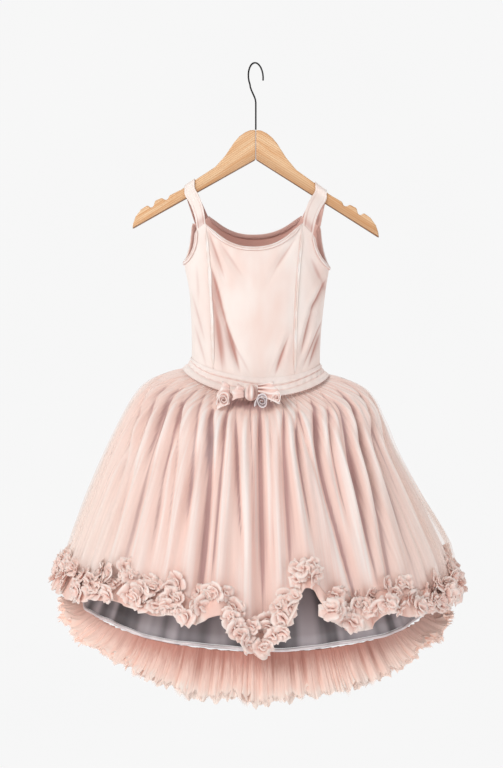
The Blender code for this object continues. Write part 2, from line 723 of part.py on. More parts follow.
def make_hem_ruffle():
    """The ruffle sewn along the outer skirt's hem."""
    angles = skirt_angles(FOLDS * FOLD_STEPS)
    places = [[(angle, share) for angle in angles] for share in (0.0, 0.45, 1.0)]
    wall_from_surface("hem_ruffle", ruffle, places, -RUFFLE_CLOTH, 0.0, True, "chiffon")
    return [[ruffle(angle, share, 0.0) for angle, share in row] for row in places]


def points_between(grid, parts):
    """Points of a closed grid and of the faces between them."""
    found = []
    columns = len(grid[0])
    for upper, lower in zip(grid[:-1], grid[1:]):
        for column in range(columns):
            after = (column + 1) % columns
            for row_part in range(parts + 1):
                left = upper[column].lerp(lower[column], row_part / parts)
                right = upper[after].lerp(lower[after], row_part / parts)
                found += [left.lerp(right, part / parts) for part in range(parts)]
    return found


def make_roses(grid):
    """Fabric flowers on the ruffle, each seated on the ridges that it covers."""
    ridge = points_between(grid, 7)
    for index in range(ROSES):
        angle = 2.0 * math.pi * (index + 0.5) / ROSES
        radius = ROSE_RADIUS + ROSE_VARIES * math.sin(2.3 * index)
        share = 0.42 + 0.1 * math.sin(1.7 * index)
        centre = ruffle(angle, share, 0.0)
        outward = Vector((math.sin(angle) * 0.62, -math.cos(angle), 0.16)).normalized()
        right = Vector((0.0, 0.0, 1.0)).cross(outward).normalized()
        up = outward.cross(right)
        seat = -radius
        for point in ridge:
            offset = point - centre
            away = math.hypot(offset.dot(right), offset.dot(up)) / radius
            if away < 1.03:
                seat = max(seat, offset.dot(outward) - max(0.0, away - 0.8) * radius)
        name = "hem_rose_%02d" % (index + 1)
        add_rose(name, centre + outward * (seat + 2.0 * GAP), right, up, outward, radius, index)


def add_rose(name, seat, right, up, outward, radius, turn):
    """A small open flower: a scalloped disc that rises to a ring and dips in the middle."""
    petals = 5
    sides = petals * 2
    rings = [(0.8, 0.0, 0.0), (1.0, 0.2, 0.0), (0.66, 0.5, 0.14)]
    points = [seat]
    for reach, high, scallop in rings:
        for corner in range(sides):
            phase = 2.0 * math.pi * corner / sides + turn
            spread = radius * reach * (1.0 + scallop * (1 if corner % 2 else -1))
            points.append(seat + right * spread * math.cos(phase) + up * spread * math.sin(phase)
                          + outward * radius * high)
    points.append(seat + outward * radius * 0.42)
    faces = []
    for corner in range(sides):
        following = (corner + 1) % sides
        faces.append([0, 1 + following, 1 + corner])
        for ring in range(len(rings) - 1):
            low, high = 1 + ring * sides, 1 + (ring + 1) * sides
            faces.append([low + corner, low + following, high + following, high + corner])
        last = 1 + (len(rings) - 1) * sides
        faces.append([last + corner, last + following, len(points) - 1])
    return add_solid(name, points, faces, "chiffon")


def lining_point(angle, share):
    """A point on the lining skirt's outer side."""
    section = flare_at(LINING, share)
    fall = section.fall + section.front_fall * max(0.0, math.cos(angle))
    wave = math.sin(LINING_WAVES * angle + 0.5)
    return ring_point(angle, section.half_width, waist_z(angle) - fall, LINING_PUSH + section.fold * wave)


def make_lining():
    """The grey satin skirt inside, down to its rim."""
    angles = skirt_angles(LINING_SIDES)
    rows = len(LINING)
    grid = [[lining_point(angle, row / (rows - 1)) for angle in angles] for row in range(rows)]
    wall_from_grid("lining_skirt", grid, TULLE, True, "grey_satin")
    edge = grid[-1]
    drop = Vector((0.0, 0.0, -RIM_RADIUS - GAP - 0.6))
    rings = []
    for index, point in enumerate(edge):
        out = Vector((point.x, point.y, 0.0)).normalized()
        centre = point + drop
        rings.append([centre + out * RIM_RADIUS * 0.8, centre + Vector((0.0, 0.0, RIM_RADIUS)),
                      centre - out * RIM_RADIUS, centre - Vector((0.0, 0.0, RIM_RADIUS))])
    add_loop("lining_rim", rings, "rim")


def add_loop(name, rings, colour):
    """Join rings of points into a closed hoop."""
    size, count = len(rings[0]), len(rings)
    points = [point for ring in rings for point in ring]
    faces = []
    for ring in range(count):
        after = (ring + 1) % count
        for corner in range(size):
            following = (corner + 1) % size
            faces.append([ring * size + corner, ring * size + following,
                          after * size + following, after * size + corner])
    return add_solid(name, points, faces, colour)


def make_frill():
    """The gathered net frill below the rim."""
    angles = skirt_angles(FRILL_PLEATS * 2)
    grid = []
    rim_drop = 2.0 * RIM_RADIUS + 2.0 * GAP + 1.6
    for row, section in enumerate(FRILL):
        line = []
        for index, angle in enumerate(angles):
            front = math.cos(angle) ** 2
            fall = section.fall + section.front_fall * front + rim_drop
            wave = (1 if index % 2 else -1) * section.fold
            ragged = math.sin(index * 1.9) * math.sin(index * 0.37)
            jag = FRILL_JAG * ragged if row == len(FRILL) - 1 else 0.0
            line.append(ring_point(angle, section.half_width, waist_z(angle) - fall + jag,
                                   LINING_PUSH + 1.0 + wave))
        grid.append(line)
    wall_from_grid("net_frill", grid, FRILL_CLOTH, True, "net")


# Section of the sash from its upper edge to its lower one, and how far it reaches above and below the
# waist seam at the sides and in front
SashLevel = namedtuple("SashLevel", "share push")
SASH_LEVELS = [
    SashLevel(0.0, 4.0), SashLevel(0.25, 5.8), SashLevel(0.5, 5.4), SashLevel(0.75, 10.6),
    SashLevel(1.0, 15.9),
]
SASH_ABOVE = (13.0, 19.0)
SASH_BELOW = (2.5, 10.0)


def make_sash():
    """The satin ribbon round the waist seam, with two lengthwise folds."""
    angles = skirt_angles(FOLDS)
    grid = []
    for level in SASH_LEVELS:
        line = []
        for angle in angles:
            front = max(0.0, math.cos(angle))
            high = waist_z(angle) + mix(SASH_ABOVE[0], SASH_ABOVE[1], front)
            low = waist_z(angle) - mix(SASH_BELOW[0], SASH_BELOW[1], front)
            line.append(ring_point(angle, WAIST_HALF_WIDTH, mix(high, low, level.share), level.push))
        grid.append(line)
    wall_from_grid("sash", grid, SASH_CLOTH, True, "sash")


BOW_CLOTH = 1.2
BOW_BACK_Y = -76.0
BowLoop = namedtuple("BowLoop", "name root_x tip_x z near_tall far_tall lift bulge")
BOW_LOOPS = [
    BowLoop("bow_loop_left", -35.6, -54.5, -453.0, 26.0, 38.0, 0.0, 4.0),
    BowLoop("bow_loop_inner", -16.6, -34.0, -449.0, 14.0, 21.0, 0.0, 4.0),
    BowLoop("bow_loop_right", 2.6, 33.5, -447.0, 15.0, 30.0, -3.0, 4.0),
]
Rosette = namedtuple("Rosette", "name x y z radius colour")
ROSETTES = [
    Rosette("bow_rosette_left", -44.0, -85.7, -459.0, 9.0, "bow"),
    Rosette("bow_rosette_centre", 8.0, -84.2, -460.5, 10.4, "spiral"),
    Rosette("bow_rosette_right", 28.0, -84.4, -458.5, 7.8, "bow"),
]
KNOT_CENTRE = (-7.0, -72.4, -451.0)
KNOT_RADII = (10.0, 10.5, 11.5)


def make_bow():
    """Ribbon loops, a knot and rolled rosettes in the middle of the sash."""
    for loop in BOW_LOOPS:
        grid = []
        for level in (0.5, 0.17, -0.17, -0.5):
            line = []
            for step in range(9):
                turn = math.pi * step / 8.0
                reach = math.sin(turn) ** 0.8
                open_share = 1.0 + math.cos(turn)
                y = BOW_BACK_Y - loop.bulge * open_share * mix(0.35, 1.0, math.sin(turn)) - 1.5 * open_share
                x = mix(loop.root_x, loop.tip_x, reach)
                tall = mix(loop.near_tall, loop.far_tall, reach)
                line.append(Vector((x, y, loop.z + level * tall + loop.lift * reach)))
            grid.append(line)
        wall_from_grid(loop.name, grid, BOW_CLOTH, False, "bow")
    outward, right, up = Vector((0.0, -1.0, 0.0)), Vector((1.0, 0.0, 0.0)), Vector((0.0, 0.0, 1.0))
    for turn, rosette in enumerate(ROSETTES):
        rose = add_rose(rosette.name, Vector((rosette.x, rosette.y, rosette.z)), right, up, outward,
                        rosette.radius, turn)
        rose.data.materials[0] = material(rosette.colour)
    knot = bmesh.new()
    bmesh.ops.create_uvsphere(knot, u_segments=10, v_segments=7, radius=1.0)
    for corner in knot.verts:
        corner.co = (Vector(KNOT_CENTRE) + corner.co * Vector(KNOT_RADII)) * MM
    mesh = bpy.data.meshes.new("bow_knot")
    knot.to_mesh(mesh)
    knot.free()
    mesh.materials.append(material("bow"))
    mesh.shade_smooth()
    bpy.context.scene.collection.objects.link(bpy.data.objects.new("bow_knot", mesh))


def main():
    """Clear the scene and make every piece."""
    for leftover in list(bpy.data.objects):
        bpy.data.objects.remove(leftover)
    make_hook()
    for side in ("left", "right"):
        make_hanger_arm(side)
        make_strap(side)
        make_front_side(side)
        make_armhole_binding(side)
        make_piping(side)
    make_front_centre()
    make_back()
    make_neck_bindings()
    make_sash()
    make_overskirt()
    make_roses(make_hem_ruffle())
    make_lining()
    make_frill()
    make_bow()


main()
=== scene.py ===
"""Looks of a child's ballet dress on a wooden clothes hanger, laid out as an add-on and run as a script.

Lengths in the tables and functions are in millimetres, and a mesh is made in metres. +Z is up and the
front faces -Y. Angles round the dress start at the front centre and grow towards +X.
"""

import json
import math
from collections import namedtuple

import bpy
import numpy as np
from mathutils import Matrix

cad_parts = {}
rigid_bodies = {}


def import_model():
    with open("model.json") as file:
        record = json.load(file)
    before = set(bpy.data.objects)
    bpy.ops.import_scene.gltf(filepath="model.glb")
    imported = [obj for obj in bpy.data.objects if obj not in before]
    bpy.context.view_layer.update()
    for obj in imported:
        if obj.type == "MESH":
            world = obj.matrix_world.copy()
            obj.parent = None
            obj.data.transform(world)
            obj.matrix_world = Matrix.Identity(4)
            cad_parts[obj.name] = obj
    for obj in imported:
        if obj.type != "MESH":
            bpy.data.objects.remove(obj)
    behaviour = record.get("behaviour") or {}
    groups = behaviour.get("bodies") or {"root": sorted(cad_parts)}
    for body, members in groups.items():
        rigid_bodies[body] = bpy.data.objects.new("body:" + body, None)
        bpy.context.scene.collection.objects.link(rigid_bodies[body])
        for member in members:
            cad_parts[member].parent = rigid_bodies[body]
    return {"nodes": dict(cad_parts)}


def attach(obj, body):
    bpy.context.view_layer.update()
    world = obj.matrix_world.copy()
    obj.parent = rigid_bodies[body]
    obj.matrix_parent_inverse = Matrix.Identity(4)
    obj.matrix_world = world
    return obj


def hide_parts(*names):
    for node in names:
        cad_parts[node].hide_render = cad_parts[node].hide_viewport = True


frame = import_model()

bl_info = {
    "name": "Ballet dress on a hanger",
    "version": (1, 0, 0),
    "blender": (4, 5, 0),
    "location": "3D View > Sidebar > Dress",
    "description": "Builds the cloth, trims, hanger finish and studio of a child's ballet dress",
    "category": "Object",
}

MM = 0.001
TURN = 2.0 * math.pi
BODY = "root"
SIDES = (("left", -1), ("right", 1))
WELD_DISTANCE = 0.00001
SHEEN_ROUGHNESS = 0.45

# Bodice: rings from the shoulders down, the princess seams and the edges of the armholes
NECK_CENTRE_X = -3.0
NECK_HALF = 67.0
NECK_POWER = 2.3
NECK_FRONT = (-254.5, 34.0)
NECK_BACK = (-237.5, 29.0)
SEAM_GAP = 0.7
PANEL_HALF_GAP = 0.15
BACK_CORNER = 0.12
Ring = namedtuple("Ring", "z left right depth")
BODICE_RINGS = [Ring(*row) for row in (
    (-480.0, 91.0, 91.0, 50.0), (-420.0, 91.0, 91.0, 50.0), (-390.0, 90.5, 91.5, 49.0),
    (-346.0, 91.5, 95.0, 47.0), (-312.0, 94.0, 99.0, 45.0), (-276.0, 101.0, 104.5, 42.0),
    (-240.0, 104.0, 107.0, 36.0), (-200.0, 106.0, 109.0, 26.0),
)]
Edge = namedtuple("Edge", "z x")
PRINCESS = {
    "left": [Edge(-460.0, -58.0), Edge(-344.0, -61.5), Edge(-280.0, -64.6), Edge(-219.0, -69.8)],
    "right": [Edge(-460.0, 54.0), Edge(-344.0, 55.5), Edge(-291.0, 58.5), Edge(-219.0, 65.2)],
}
FRONT_ARMHOLE = {
    "left": [Edge(-275.0, -101.2), Edge(-274.2, -100.5), Edge(-272.6, -98.0), Edge(-269.0, -94.2),
             Edge(-263.0, -90.0), Edge(-255.0, -86.4), Edge(-247.0, -84.4), Edge(-238.0, -83.6),
             Edge(-229.0, -82.0)],
    "right": [Edge(-282.0, 103.4), Edge(-281.2, 102.8), Edge(-279.6, 100.8), Edge(-276.0, 97.0),
              Edge(-270.0, 92.0), Edge(-262.0, 87.0), Edge(-254.0, 83.6), Edge(-245.0, 81.6),
              Edge(-236.0, 79.5)],
}
BACK_ARMHOLE = {
    "left": [Edge(-275.0, -101.2), Edge(-274.2, -100.7), Edge(-272.6, -99.6), Edge(-269.0, -97.6),
             Edge(-263.0, -95.2), Edge(-254.0, -92.8), Edge(-244.0, -91.2), Edge(-232.0, -90.0),
             Edge(-220.0, -89.0)],
    "right": [Edge(-282.0, 103.4), Edge(-281.2, 103.0), Edge(-279.6, 102.2), Edge(-275.0, 100.2),
              Edge(-268.0, 97.8), Edge(-258.0, 95.0), Edge(-247.0, 93.0), Edge(-235.0, 91.4),
              Edge(-222.0, 90.0)],
}
# Where a strap meets the front seam, the hanger's arm and the back seam
StrapEnd = namedtuple("StrapEnd", "outer_x outer_z inner_x inner_z")
STRAP_FRONT = {"left": StrapEnd(-82.0, -228.4, -70.1, -219.2), "right": StrapEnd(79.5, -235.4, 65.5, -220.2)}
STRAP_TOP = {"left": StrapEnd(-99.5, 0.0, -85.3, 0.0), "right": StrapEnd(99.0, 0.0, 83.0, 0.0)}
STRAP_BACK = {"left": StrapEnd(-89.0, -219.2, -70.5, -208.2), "right": StrapEnd(90.0, -221.3, 65.0, -209.2)}
StrapStep = namedtuple("StrapStep", "rise y")
STRAP_OVER_ARM = [
    StrapStep(-9.0, -8.0), StrapStep(-0.8, -8.0), StrapStep(2.0, -5.6), StrapStep(2.4, 0.0),
    StrapStep(2.0, 5.6), StrapStep(-0.8, 8.0), StrapStep(-9.0, 8.0),
]
STRAP_TUCK = 3.0
STRAP_CLOTH = 1.2
# The piping runs from below the neck's edge to above the waist seam
PIPING_DROP = 11.0
PIPING_RISE = 20.5
HANGER_TILT = math.radians(2.05)
HANGER_TOP_Z = -90.7
Arm = namedtuple("Arm", "out down")
ARM_UPPER = [Arm(*row) for row in (
    (0.3, 0.0), (8.0, 0.9), (15.0, 4.0), (23.0, 10.0), (30.0, 18.0), (42.5, 37.0),
    (56.5, 53.0), (80.0, 69.0), (104.0, 86.0), (121.0, 95.0),
)]

# Soft folds of the bodice: each from one point to another, how deep and how wide, and how far its lit
# ridge stands up beside it
Crease = namedtuple("Crease", "x0 z0 x1 z1 deep wide ridge")
FRONT_CREASES = [Crease(*row) for row in (
    (-63.0, -280.0, -44.5, -350.0, 4.6, 4.4, 0.5),
    (-46.5, -342.0, -22.0, -426.0, 4.2, 4.2, 0.5),
    (-64.0, -300.0, -42.0, -428.0, 2.6, 12.0, 0.2),
    (-68.0, -226.0, -42.0, -300.0, 2.6, 4.4, 0.5),
    (-59.0, -234.0, -19.0, -292.0, 1.2, 6.0, 0.4),
    (-50.0, -246.0, -2.0, -318.0, 0.7, 8.0, 0.4),
    (58.0, -236.0, 28.0, -282.0, 1.8, 4.6, 0.5),
    (44.0, -250.0, 12.0, -312.0, 1.1, 6.0, 0.4),
    (45.5, -376.0, 26.5, -430.0, 3.6, 4.4, 0.5),
    (34.0, -392.0, 16.0, -434.0, 1.6, 6.0, 0.3),
    (-38.0, -372.0, -6.0, -432.0, 1.9, 7.0, 0.4),
    (-56.0, -352.0, -46.0, -430.0, 1.6, 5.0, 0.3),
    (52.0, -290.0, 50.0, -424.0, 1.0, 6.0, 0.3),
    (99.0, -300.0, 78.0, -340.0, 3.8, 4.2, 0.5),
    (81.0, -330.0, 62.0, -406.0, 3.4, 4.4, 0.5),
    (95.0, -354.0, 65.0, -422.0, 3.6, 3.8, 0.5),
    (91.0, -374.0, 74.0, -420.0, 3.0, 3.2, 0.5),
    (76.0, -266.0, 99.0, -314.0, 2.4, 8.0, 0.2),
    (-83.0, -272.0, -80.0, -334.0, 1.3, 7.0, 0.4),
    (-90.0, -318.0, -70.0, -388.0, 1.5, 5.0, 0.4),
    (-86.0, -362.0, -68.0, -424.0, 1.5, 5.0, 0.4),
)]
BACK_CREASES = [Crease(*row) for row in (
    (-50.0, -250.0, -16.0, -330.0, 1.6, 6.0, 0.5),
    (44.0, -252.0, 18.0, -316.0, 1.4, 6.0, 0.5),
    (-78.0, -330.0, -30.0, -402.0, 2.4, 7.0, 0.5),
    (82.0, -340.0, 36.0, -410.0, 2.6, 7.0, 0.5),
    (-90.0, -290.0, -52.0, -350.0, 1.5, 6.0, 0.4),
    (94.0, -298.0, 60.0, -362.0, 1.5, 6.0, 0.4),
    (6.0, -300.0, -8.0, -430.0, 2.0, 9.0, 0.3),
)]

# Waist and skirts. front_fall is added in front.
WAIST_HALF_WIDTH = 91.0
WAIST_DEPTH = 50.0
DEPTH_SHARE = 0.7
WAIST_Z = -426.0
WAIST_TILT = 4.5
WAIST_DIP = 25.0
FOLDS = 40
RUFFLE_WAVES = 40
RUFFLE_TOP = 0.99
RUFFLE_TALL = 0.044
ROSES = 30
CURLS = 270
CURL_GRID = 5
CURL_SEED = 5
FRILL_SEED = 11
FRILL_COLUMNS = 1100
SKIRT_ROWS = 58
RUFFLE_CLOTH = 0.8
PETAL_CLOTH = 0.4
HEM_SMOOTHING = 25
Flare = namedtuple("Flare", "half_width fall front_fall fold")
OVERSKIRT = [Flare(*row) for row in (
    (91.0, 0.0, 0.0, 1.0), (99.0, 3.0, 8.0, 1.4), (125.0, 9.0, 12.0, 3.0),
    (160.0, 28.0, 10.0, 5.0), (191.0, 79.0, 6.0, 7.5), (229.0, 160.0, 3.0, 9.5),
    (276.0, 278.0, 0.0, 11.5),
)]
LINING = [Flare(*row) for row in (
    (91.0, 0.6, 0.0, 0.0), (95.0, 12.0, 9.0, 0.4), (142.0, 80.0, 6.0, 1.5),
    (196.0, 205.0, 3.0, 3.0), (250.0, 332.0, 0.0, 3.5),
)]
LINING_PUSH = -2.7
LINING_WAVES = 9
RIM_DROP = 6.2
RIM_BELOW = 2.9
RIM_RADIUS = 2.3
FRILL = [Flare(250.0, 331.6, 0.0, 2.0), Flare(267.0, 339.0, 28.0, 4.2), Flare(284.0, 345.0, 53.0, 5.5)]
HemPoint = namedtuple("HemPoint", "degrees lower")
HEM = [HemPoint(*row) for row in (
    (-180.0, 8.0), (-164.0, -14.0), (-146.0, 6.0), (-130.0, -12.0),
    (-112.0, 4.0), (-90.0, 16.0), (-64.0, 6.0), (-40.0, -14.0),
    (-29.0, -8.0), (-21.0, -11.0), (-16.0, -2.0), (-9.6, -18.0),
    (-5.0, 12.0), (1.5, 36.0), (6.0, 12.0), (14.0, -51.0),
    (20.0, -13.0), (25.5, 7.0), (32.0, 8.0), (37.0, -8.0),
    (48.0, 5.0), (64.0, 12.0), (90.0, 16.0), (110.0, -6.0),
    (128.0, 10.0), (146.0, -12.0), (163.0, 8.0), (180.0, 8.0),
)]
# The deepest folds of the outer skirt: degrees at its top, middle and end, the shares of the skirt's
# length between which it runs, how deep, and how many degrees wide
Trough = namedtuple("Trough", "top middle low start end deep wide")
TROUGHS = [Trough(*row) for row in (
    (-82.0, -65.0, -55.0, 0.34, 0.96, 4.0, 1.2), (-66.0, -52.5, -46.0, 0.16, 0.82, 4.0, 1.1),
    (-54.0, -35.5, -27.0, 0.26, 1.00, 4.5, 1.1), (-36.0, -24.0, -18.5, 0.18, 0.75, 4.0, 1.0),
    (33.0, 22.5, 24.0, 0.18, 0.80, 4.0, 0.9), (58.0, 46.5, 39.0, 0.14, 0.70, 4.0, 1.0),
    (72.0, 57.0, 47.0, 0.20, 0.85, 4.5, 1.1), (89.0, 70.0, 62.0, 0.24, 0.90, 4.0, 1.3),
    (-95.0, -72.0, -60.0, 0.30, 0.82, 5.0, 2.8), (-73.0, -58.0, -50.0, 0.25, 1.00, 6.0, 2.3),
    (-60.0, -47.0, -42.0, 0.22, 1.03, 7.0, 2.1), (-50.0, -40.0, -33.0, 0.12, 0.98, 6.5, 1.8),
    (-45.0, -30.0, -22.0, 0.10, 0.92, 5.5, 1.5), (-26.0, -18.5, -15.5, 0.35, 1.03, 10.0, 1.6),
    (-17.0, -13.7, -12.5, 0.30, 1.03, 8.5, 1.2), (-12.0, -8.0, -3.5, 0.36, 0.94, 6.5, 1.2),
    (-4.5, -2.0, -0.3, 0.22, 0.98, 4.5, 1.1), (2.7, 1.9, 2.2, 0.28, 0.98, 10.0, 1.4),
    (7.8, 6.3, 5.0, 0.30, 0.98, 4.0, 0.9), (19.0, 12.0, 9.8, 0.24, 1.02, 7.0, 1.2),
    (25.0, 17.5, 18.0, 0.34, 0.96, 6.5, 1.3), (41.0, 27.0, 30.0, 0.26, 1.03, 10.0, 1.6),
    (50.0, 35.0, 32.0, 0.30, 0.90, 5.5, 1.3), (51.0, 42.0, 36.0, 0.38, 1.03, 10.0, 1.7),
    (63.0, 51.5, 41.0, 0.34, 1.03, 9.0, 1.7), (82.0, 62.0, 53.0, 0.38, 1.03, 7.0, 2.0),
    (95.0, 78.0, 71.0, 0.38, 1.03, 6.0, 2.3), (104.0, 96.0, 90.0, 0.20, 0.96, 6.0, 2.2),
    (118.0, 112.0, 104.0, 0.30, 1.03, 9.0, 2.0), (127.0, 124.0, 119.0, 0.14, 0.90, 5.5, 1.6),
    (136.0, 133.0, 131.0, 0.34, 1.03, 10.0, 1.8), (149.0, 146.0, 141.0, 0.22, 0.98, 7.0, 1.6),
    (158.0, 157.0, 155.0, 0.40, 1.03, 6.0, 1.4), (168.0, 166.0, 168.0, 0.26, 1.02, 10.0, 1.6),
    (177.0, 178.0, 182.0, 0.12, 0.92, 5.0, 1.3), (190.0, 192.0, 194.0, 0.32, 1.03, 9.0, 1.6),
    (199.0, 203.0, 204.0, 0.24, 0.94, 6.0, 1.4), (210.0, 214.0, 219.0, 0.36, 1.03, 10.0, 1.9),
    (226.0, 229.0, 231.0, 0.18, 0.98, 6.5, 1.7), (240.0, 243.0, 249.0, 0.30, 1.03, 9.0, 2.1),
    (254.0, 258.0, 262.0, 0.24, 0.94, 6.0, 2.1),
)]


def mix(low, high, share):
    """The value that lies the given share of the way from low to high."""
    return low + (high - low) * share


def bell(value, centre, width):
    """A smooth bump of height 1 at a centre."""
    return np.exp(-((value - centre) / width) ** 2)


def column(rows, name):
    """One column of a table as numbers."""
    return np.array([getattr(row, name) for row in rows], dtype=float)


def read_table(rows, key, value, at):
    """Read a table whose rows rise by key, straight between its rows."""
    return np.interp(at, column(rows, key), column(rows, value))


def smooth_line(keys, values, at):
    """Read values at places between rising keys on a curve without corners."""
    keys, values = np.asarray(keys, dtype=float), np.asarray(values, dtype=float)
    slopes = np.gradient(values, keys)
    at = np.clip(at, keys[0], keys[-1])
    low = np.clip(np.searchsorted(keys, at) - 1, 0, len(keys) - 2)
    span = keys[low + 1] - keys[low]
    share = (at - keys[low]) / span
    square, cube = share ** 2, share ** 3
    return ((2 * cube - 3 * square + 1) * values[low] + (cube - 2 * square + share) * span * slopes[low]
            + (3 * square - 2 * cube) * values[low + 1] + (cube - square) * span * slopes[low + 1])


def eased_table(rows, key, value, at):
    """Read a table flat at each of its rows and smooth between them."""
    keys, values = column(rows, key), column(rows, value)
    low = np.clip(np.searchsorted(keys, at) - 1, 0, len(keys) - 2)
    share = np.clip((at - keys[low]) / (keys[low + 1] - keys[low]), 0.0, 1.0)
    return mix(values[low], values[low + 1], share * share * (3.0 - 2.0 * share))


def unit(vectors):
    """Vectors with a length of one."""
    return vectors / np.maximum(np.linalg.norm(vectors, axis=-1, keepdims=True), 1e-9)


def grid_of(columns, rows):
    """Shares across and down a sheet, from 0 to 1."""
    return np.meshgrid(np.linspace(0.0, 1.0, columns), np.linspace(0.0, 1.0, rows))


def ring_grid(columns, rows, top=0.0, end=1.0):
    """Angles all round and shares of the length between two shares."""
    return np.meshgrid(np.linspace(0.0, TURN, columns, endpoint=False), np.linspace(top, end, rows))


def grid_normals(points):
    """Outward directions of a sheet whose rows run down and whose columns run to the right."""
    down = np.gradient(points, axis=0)
    along = np.gradient(points, axis=1)
    return unit(np.cross(down, along))


def waist_z(angle):
    """Height of the waist seam, which dips in front and hangs lower on the right."""
    front = np.maximum(0.0, np.cos(angle))
    return WAIST_Z - WAIST_TILT * np.sin(angle) - WAIST_DIP * front ** 1.5


def bodice_half_width(z, side):
    """Half width of the bodice at a height, on the side where side is below or above zero."""
    heights = column(BODICE_RINGS, "z")
    left = smooth_line(heights, column(BODICE_RINGS, "left"), z)
    right = smooth_line(heights, column(BODICE_RINGS, "right"), z)
    return np.where(np.asarray(side) > 0.0, right, left)


def creases(rows, x, z):
    """How far folds press a panel in at its points, and how much painted shade and highlight they put on it."""
    press, shade = np.zeros_like(x), np.zeros_like(x)
    for fold in rows:
        run_x, run_z = fold.x1 - fold.x0, fold.z1 - fold.z0
        length = math.hypot(run_x, run_z)
        share = ((x - fold.x0) * run_x + (z - fold.z0) * run_z) / length ** 2
        inside = np.clip(share, 0.0, 1.0)
        off_x, off_z = x - fold.x0 - run_x * inside, z - fold.z0 - run_z * inside
        beside = (off_x * run_z - off_z * run_x) / length
        distance = np.hypot(off_x, off_z)
        fade = np.sin(np.pi * mix(0.06, 0.96, inside)) ** 0.8
        outward = (x - fold.x0 - run_x * inside) * np.sign(fold.x0 + fold.x1) > 0.0
        side = np.sign(beside)
        trough = bell(distance, 0.0, fold.wide)
        ridge = bell(distance, 1.5 * fold.wide, fold.wide) * np.where(side > 0.0, 1.0, 0.45)
        press += fold.deep * fade * (trough - fold.ridge * ridge)
        line = bell(distance, 0.0, 0.3 * fold.wide)
        soft = np.where(outward, bell(distance, 0.0, 2.6 * fold.wide), trough)
        # Painted shade along each fold, spreading to its outward side, less a painted highlight on its lit ridge.
        dark = 0.18 * trough + 0.55 * line + 0.32 * soft - 0.6 * fold.ridge * ridge * ~outward
        shade += min(1.0, fold.deep / 4.0) * fade * dark
    return press, shade


def bodice_base(angle, z):
    """Points on the bodice's outer side, without its folds."""
    half = bodice_half_width(z, np.sin(angle))
    depth = smooth_line(column(BODICE_RINGS, "z"), column(BODICE_RINGS, "depth"), z)
    return np.stack([half * np.sin(angle), -depth * np.cos(angle), z], axis=-1)


def bodice(angle, z, out=0.0):
    """Points at a distance out from the bodice's outer side, and the painted shade of its folds."""
    step, drop = 0.01, 1.0
    along = bodice_base(angle + step, z) - bodice_base(angle - step, z)
    down = bodice_base(angle, z - drop) - bodice_base(angle, z + drop)
    points = bodice_base(angle, z)
    front = np.cos(angle) > 0.0
    press_front, shade_front = creases(FRONT_CREASES, points[..., 0], z)
    press_back, shade_back = creases(BACK_CREASES, points[..., 0], z)
    side = np.abs(np.cos(angle)) ** 0.4
    press = np.where(front, press_front, press_back) * side
    outward = np.asarray(out, dtype=float) - press
    return points + unit(np.cross(down, along)) * outward[..., None], np.where(front, shade_front, shade_back)


def front_angle(x, z):
    """Angle of the front point that lies at x."""
    return np.arcsin(np.clip(x / bodice_half_width(z, x), -1.0, 1.0))


def back_angle(x, z):
    """Angle of the back point that lies at x, growing from the right side round to the left."""
    return np.pi + front_angle(-x, z)


def arc_rate(angle, z):
    """Length along the bodice for one radian of angle."""
    step = 0.01
    return np.linalg.norm(bodice_base(angle + step, z) - bodice_base(angle - step, z), axis=-1) / (2.0 * step)


def neckline(x, line):
    """Height of a neckline at x. line holds its lowest height and its rise."""
    return line[0] + line[1] * np.abs((x - NECK_CENTRE_X) / NECK_HALF) ** NECK_POWER


def seam_x(side, z, shift):
    """The x of a princess seam, moved by half the gap between two panels."""
    keys, values = column(PRINCESS[side], "z"), column(PRINCESS[side], "x")
    return smooth_line(keys, values, z) + shift * PANEL_HALF_GAP


def front_centre_places(columns, rows):
    """Angles and heights over the front between the princess seams."""
    across, down = grid_of(columns, rows)
    top = np.full_like(across, -220.0)
    top_x = mix(seam_x("left", top, 1), seam_x("right", top, -1), across)
    bottom = waist_z(front_angle(top_x * 0.88, np.full_like(top_x, WAIST_Z))) + SEAM_GAP
    z = mix(neckline(top_x, NECK_FRONT), bottom, down)
    x = mix(seam_x("left", z, 1), seam_x("right", z, -1), across)
    return front_angle(x, z), z


def side_edge_angle(armhole, z, sign, back):
    """Angle of the armhole's edge or, below it, of the side seam."""
    quarter = np.pi / 2.0
    shift = PANEL_HALF_GAP / arc_rate(np.full_like(z, quarter * sign), z)
    x = read_table(armhole, "z", "x", z)
    at_edge = np.minimum(np.abs(front_angle(x, z)), quarter - shift)
    at_edge = np.where(z <= armhole[0].z, quarter - shift, at_edge)
    return sign * (np.pi - at_edge if back else at_edge)


def front_side_places(side, columns, rows):
    """Angles and heights over a front side panel, with its columns running to the right."""
    sign = -1 if side == "left" else 1
    armhole = FRONT_ARMHOLE[side]
    top_inner = STRAP_FRONT[side].inner_z - 0.3
    waist_outer = float(waist_z(sign * np.pi / 2.0)) + SEAM_GAP
    across, down = grid_of(columns, rows)
    z_outer = mix(armhole[-1].z, waist_outer, down)
    low_seam = seam_x(side, np.array(WAIST_Z), sign)
    seam = front_angle(low_seam, np.array(WAIST_Z))
    z_inner = mix(top_inner, float(waist_z(seam)) + SEAM_GAP, down)
    inner = front_angle(seam_x(side, z_inner, sign), z_inner)
    outer = side_edge_angle(armhole, z_outer, sign, False)
    angle, z = mix(inner, outer, across), mix(z_inner, z_outer, across)
    z = mix(z, waist_z(angle) + SEAM_GAP, down ** 10)
    if sign < 0:
        angle, z = angle[:, ::-1], z[:, ::-1]
    return angle, z


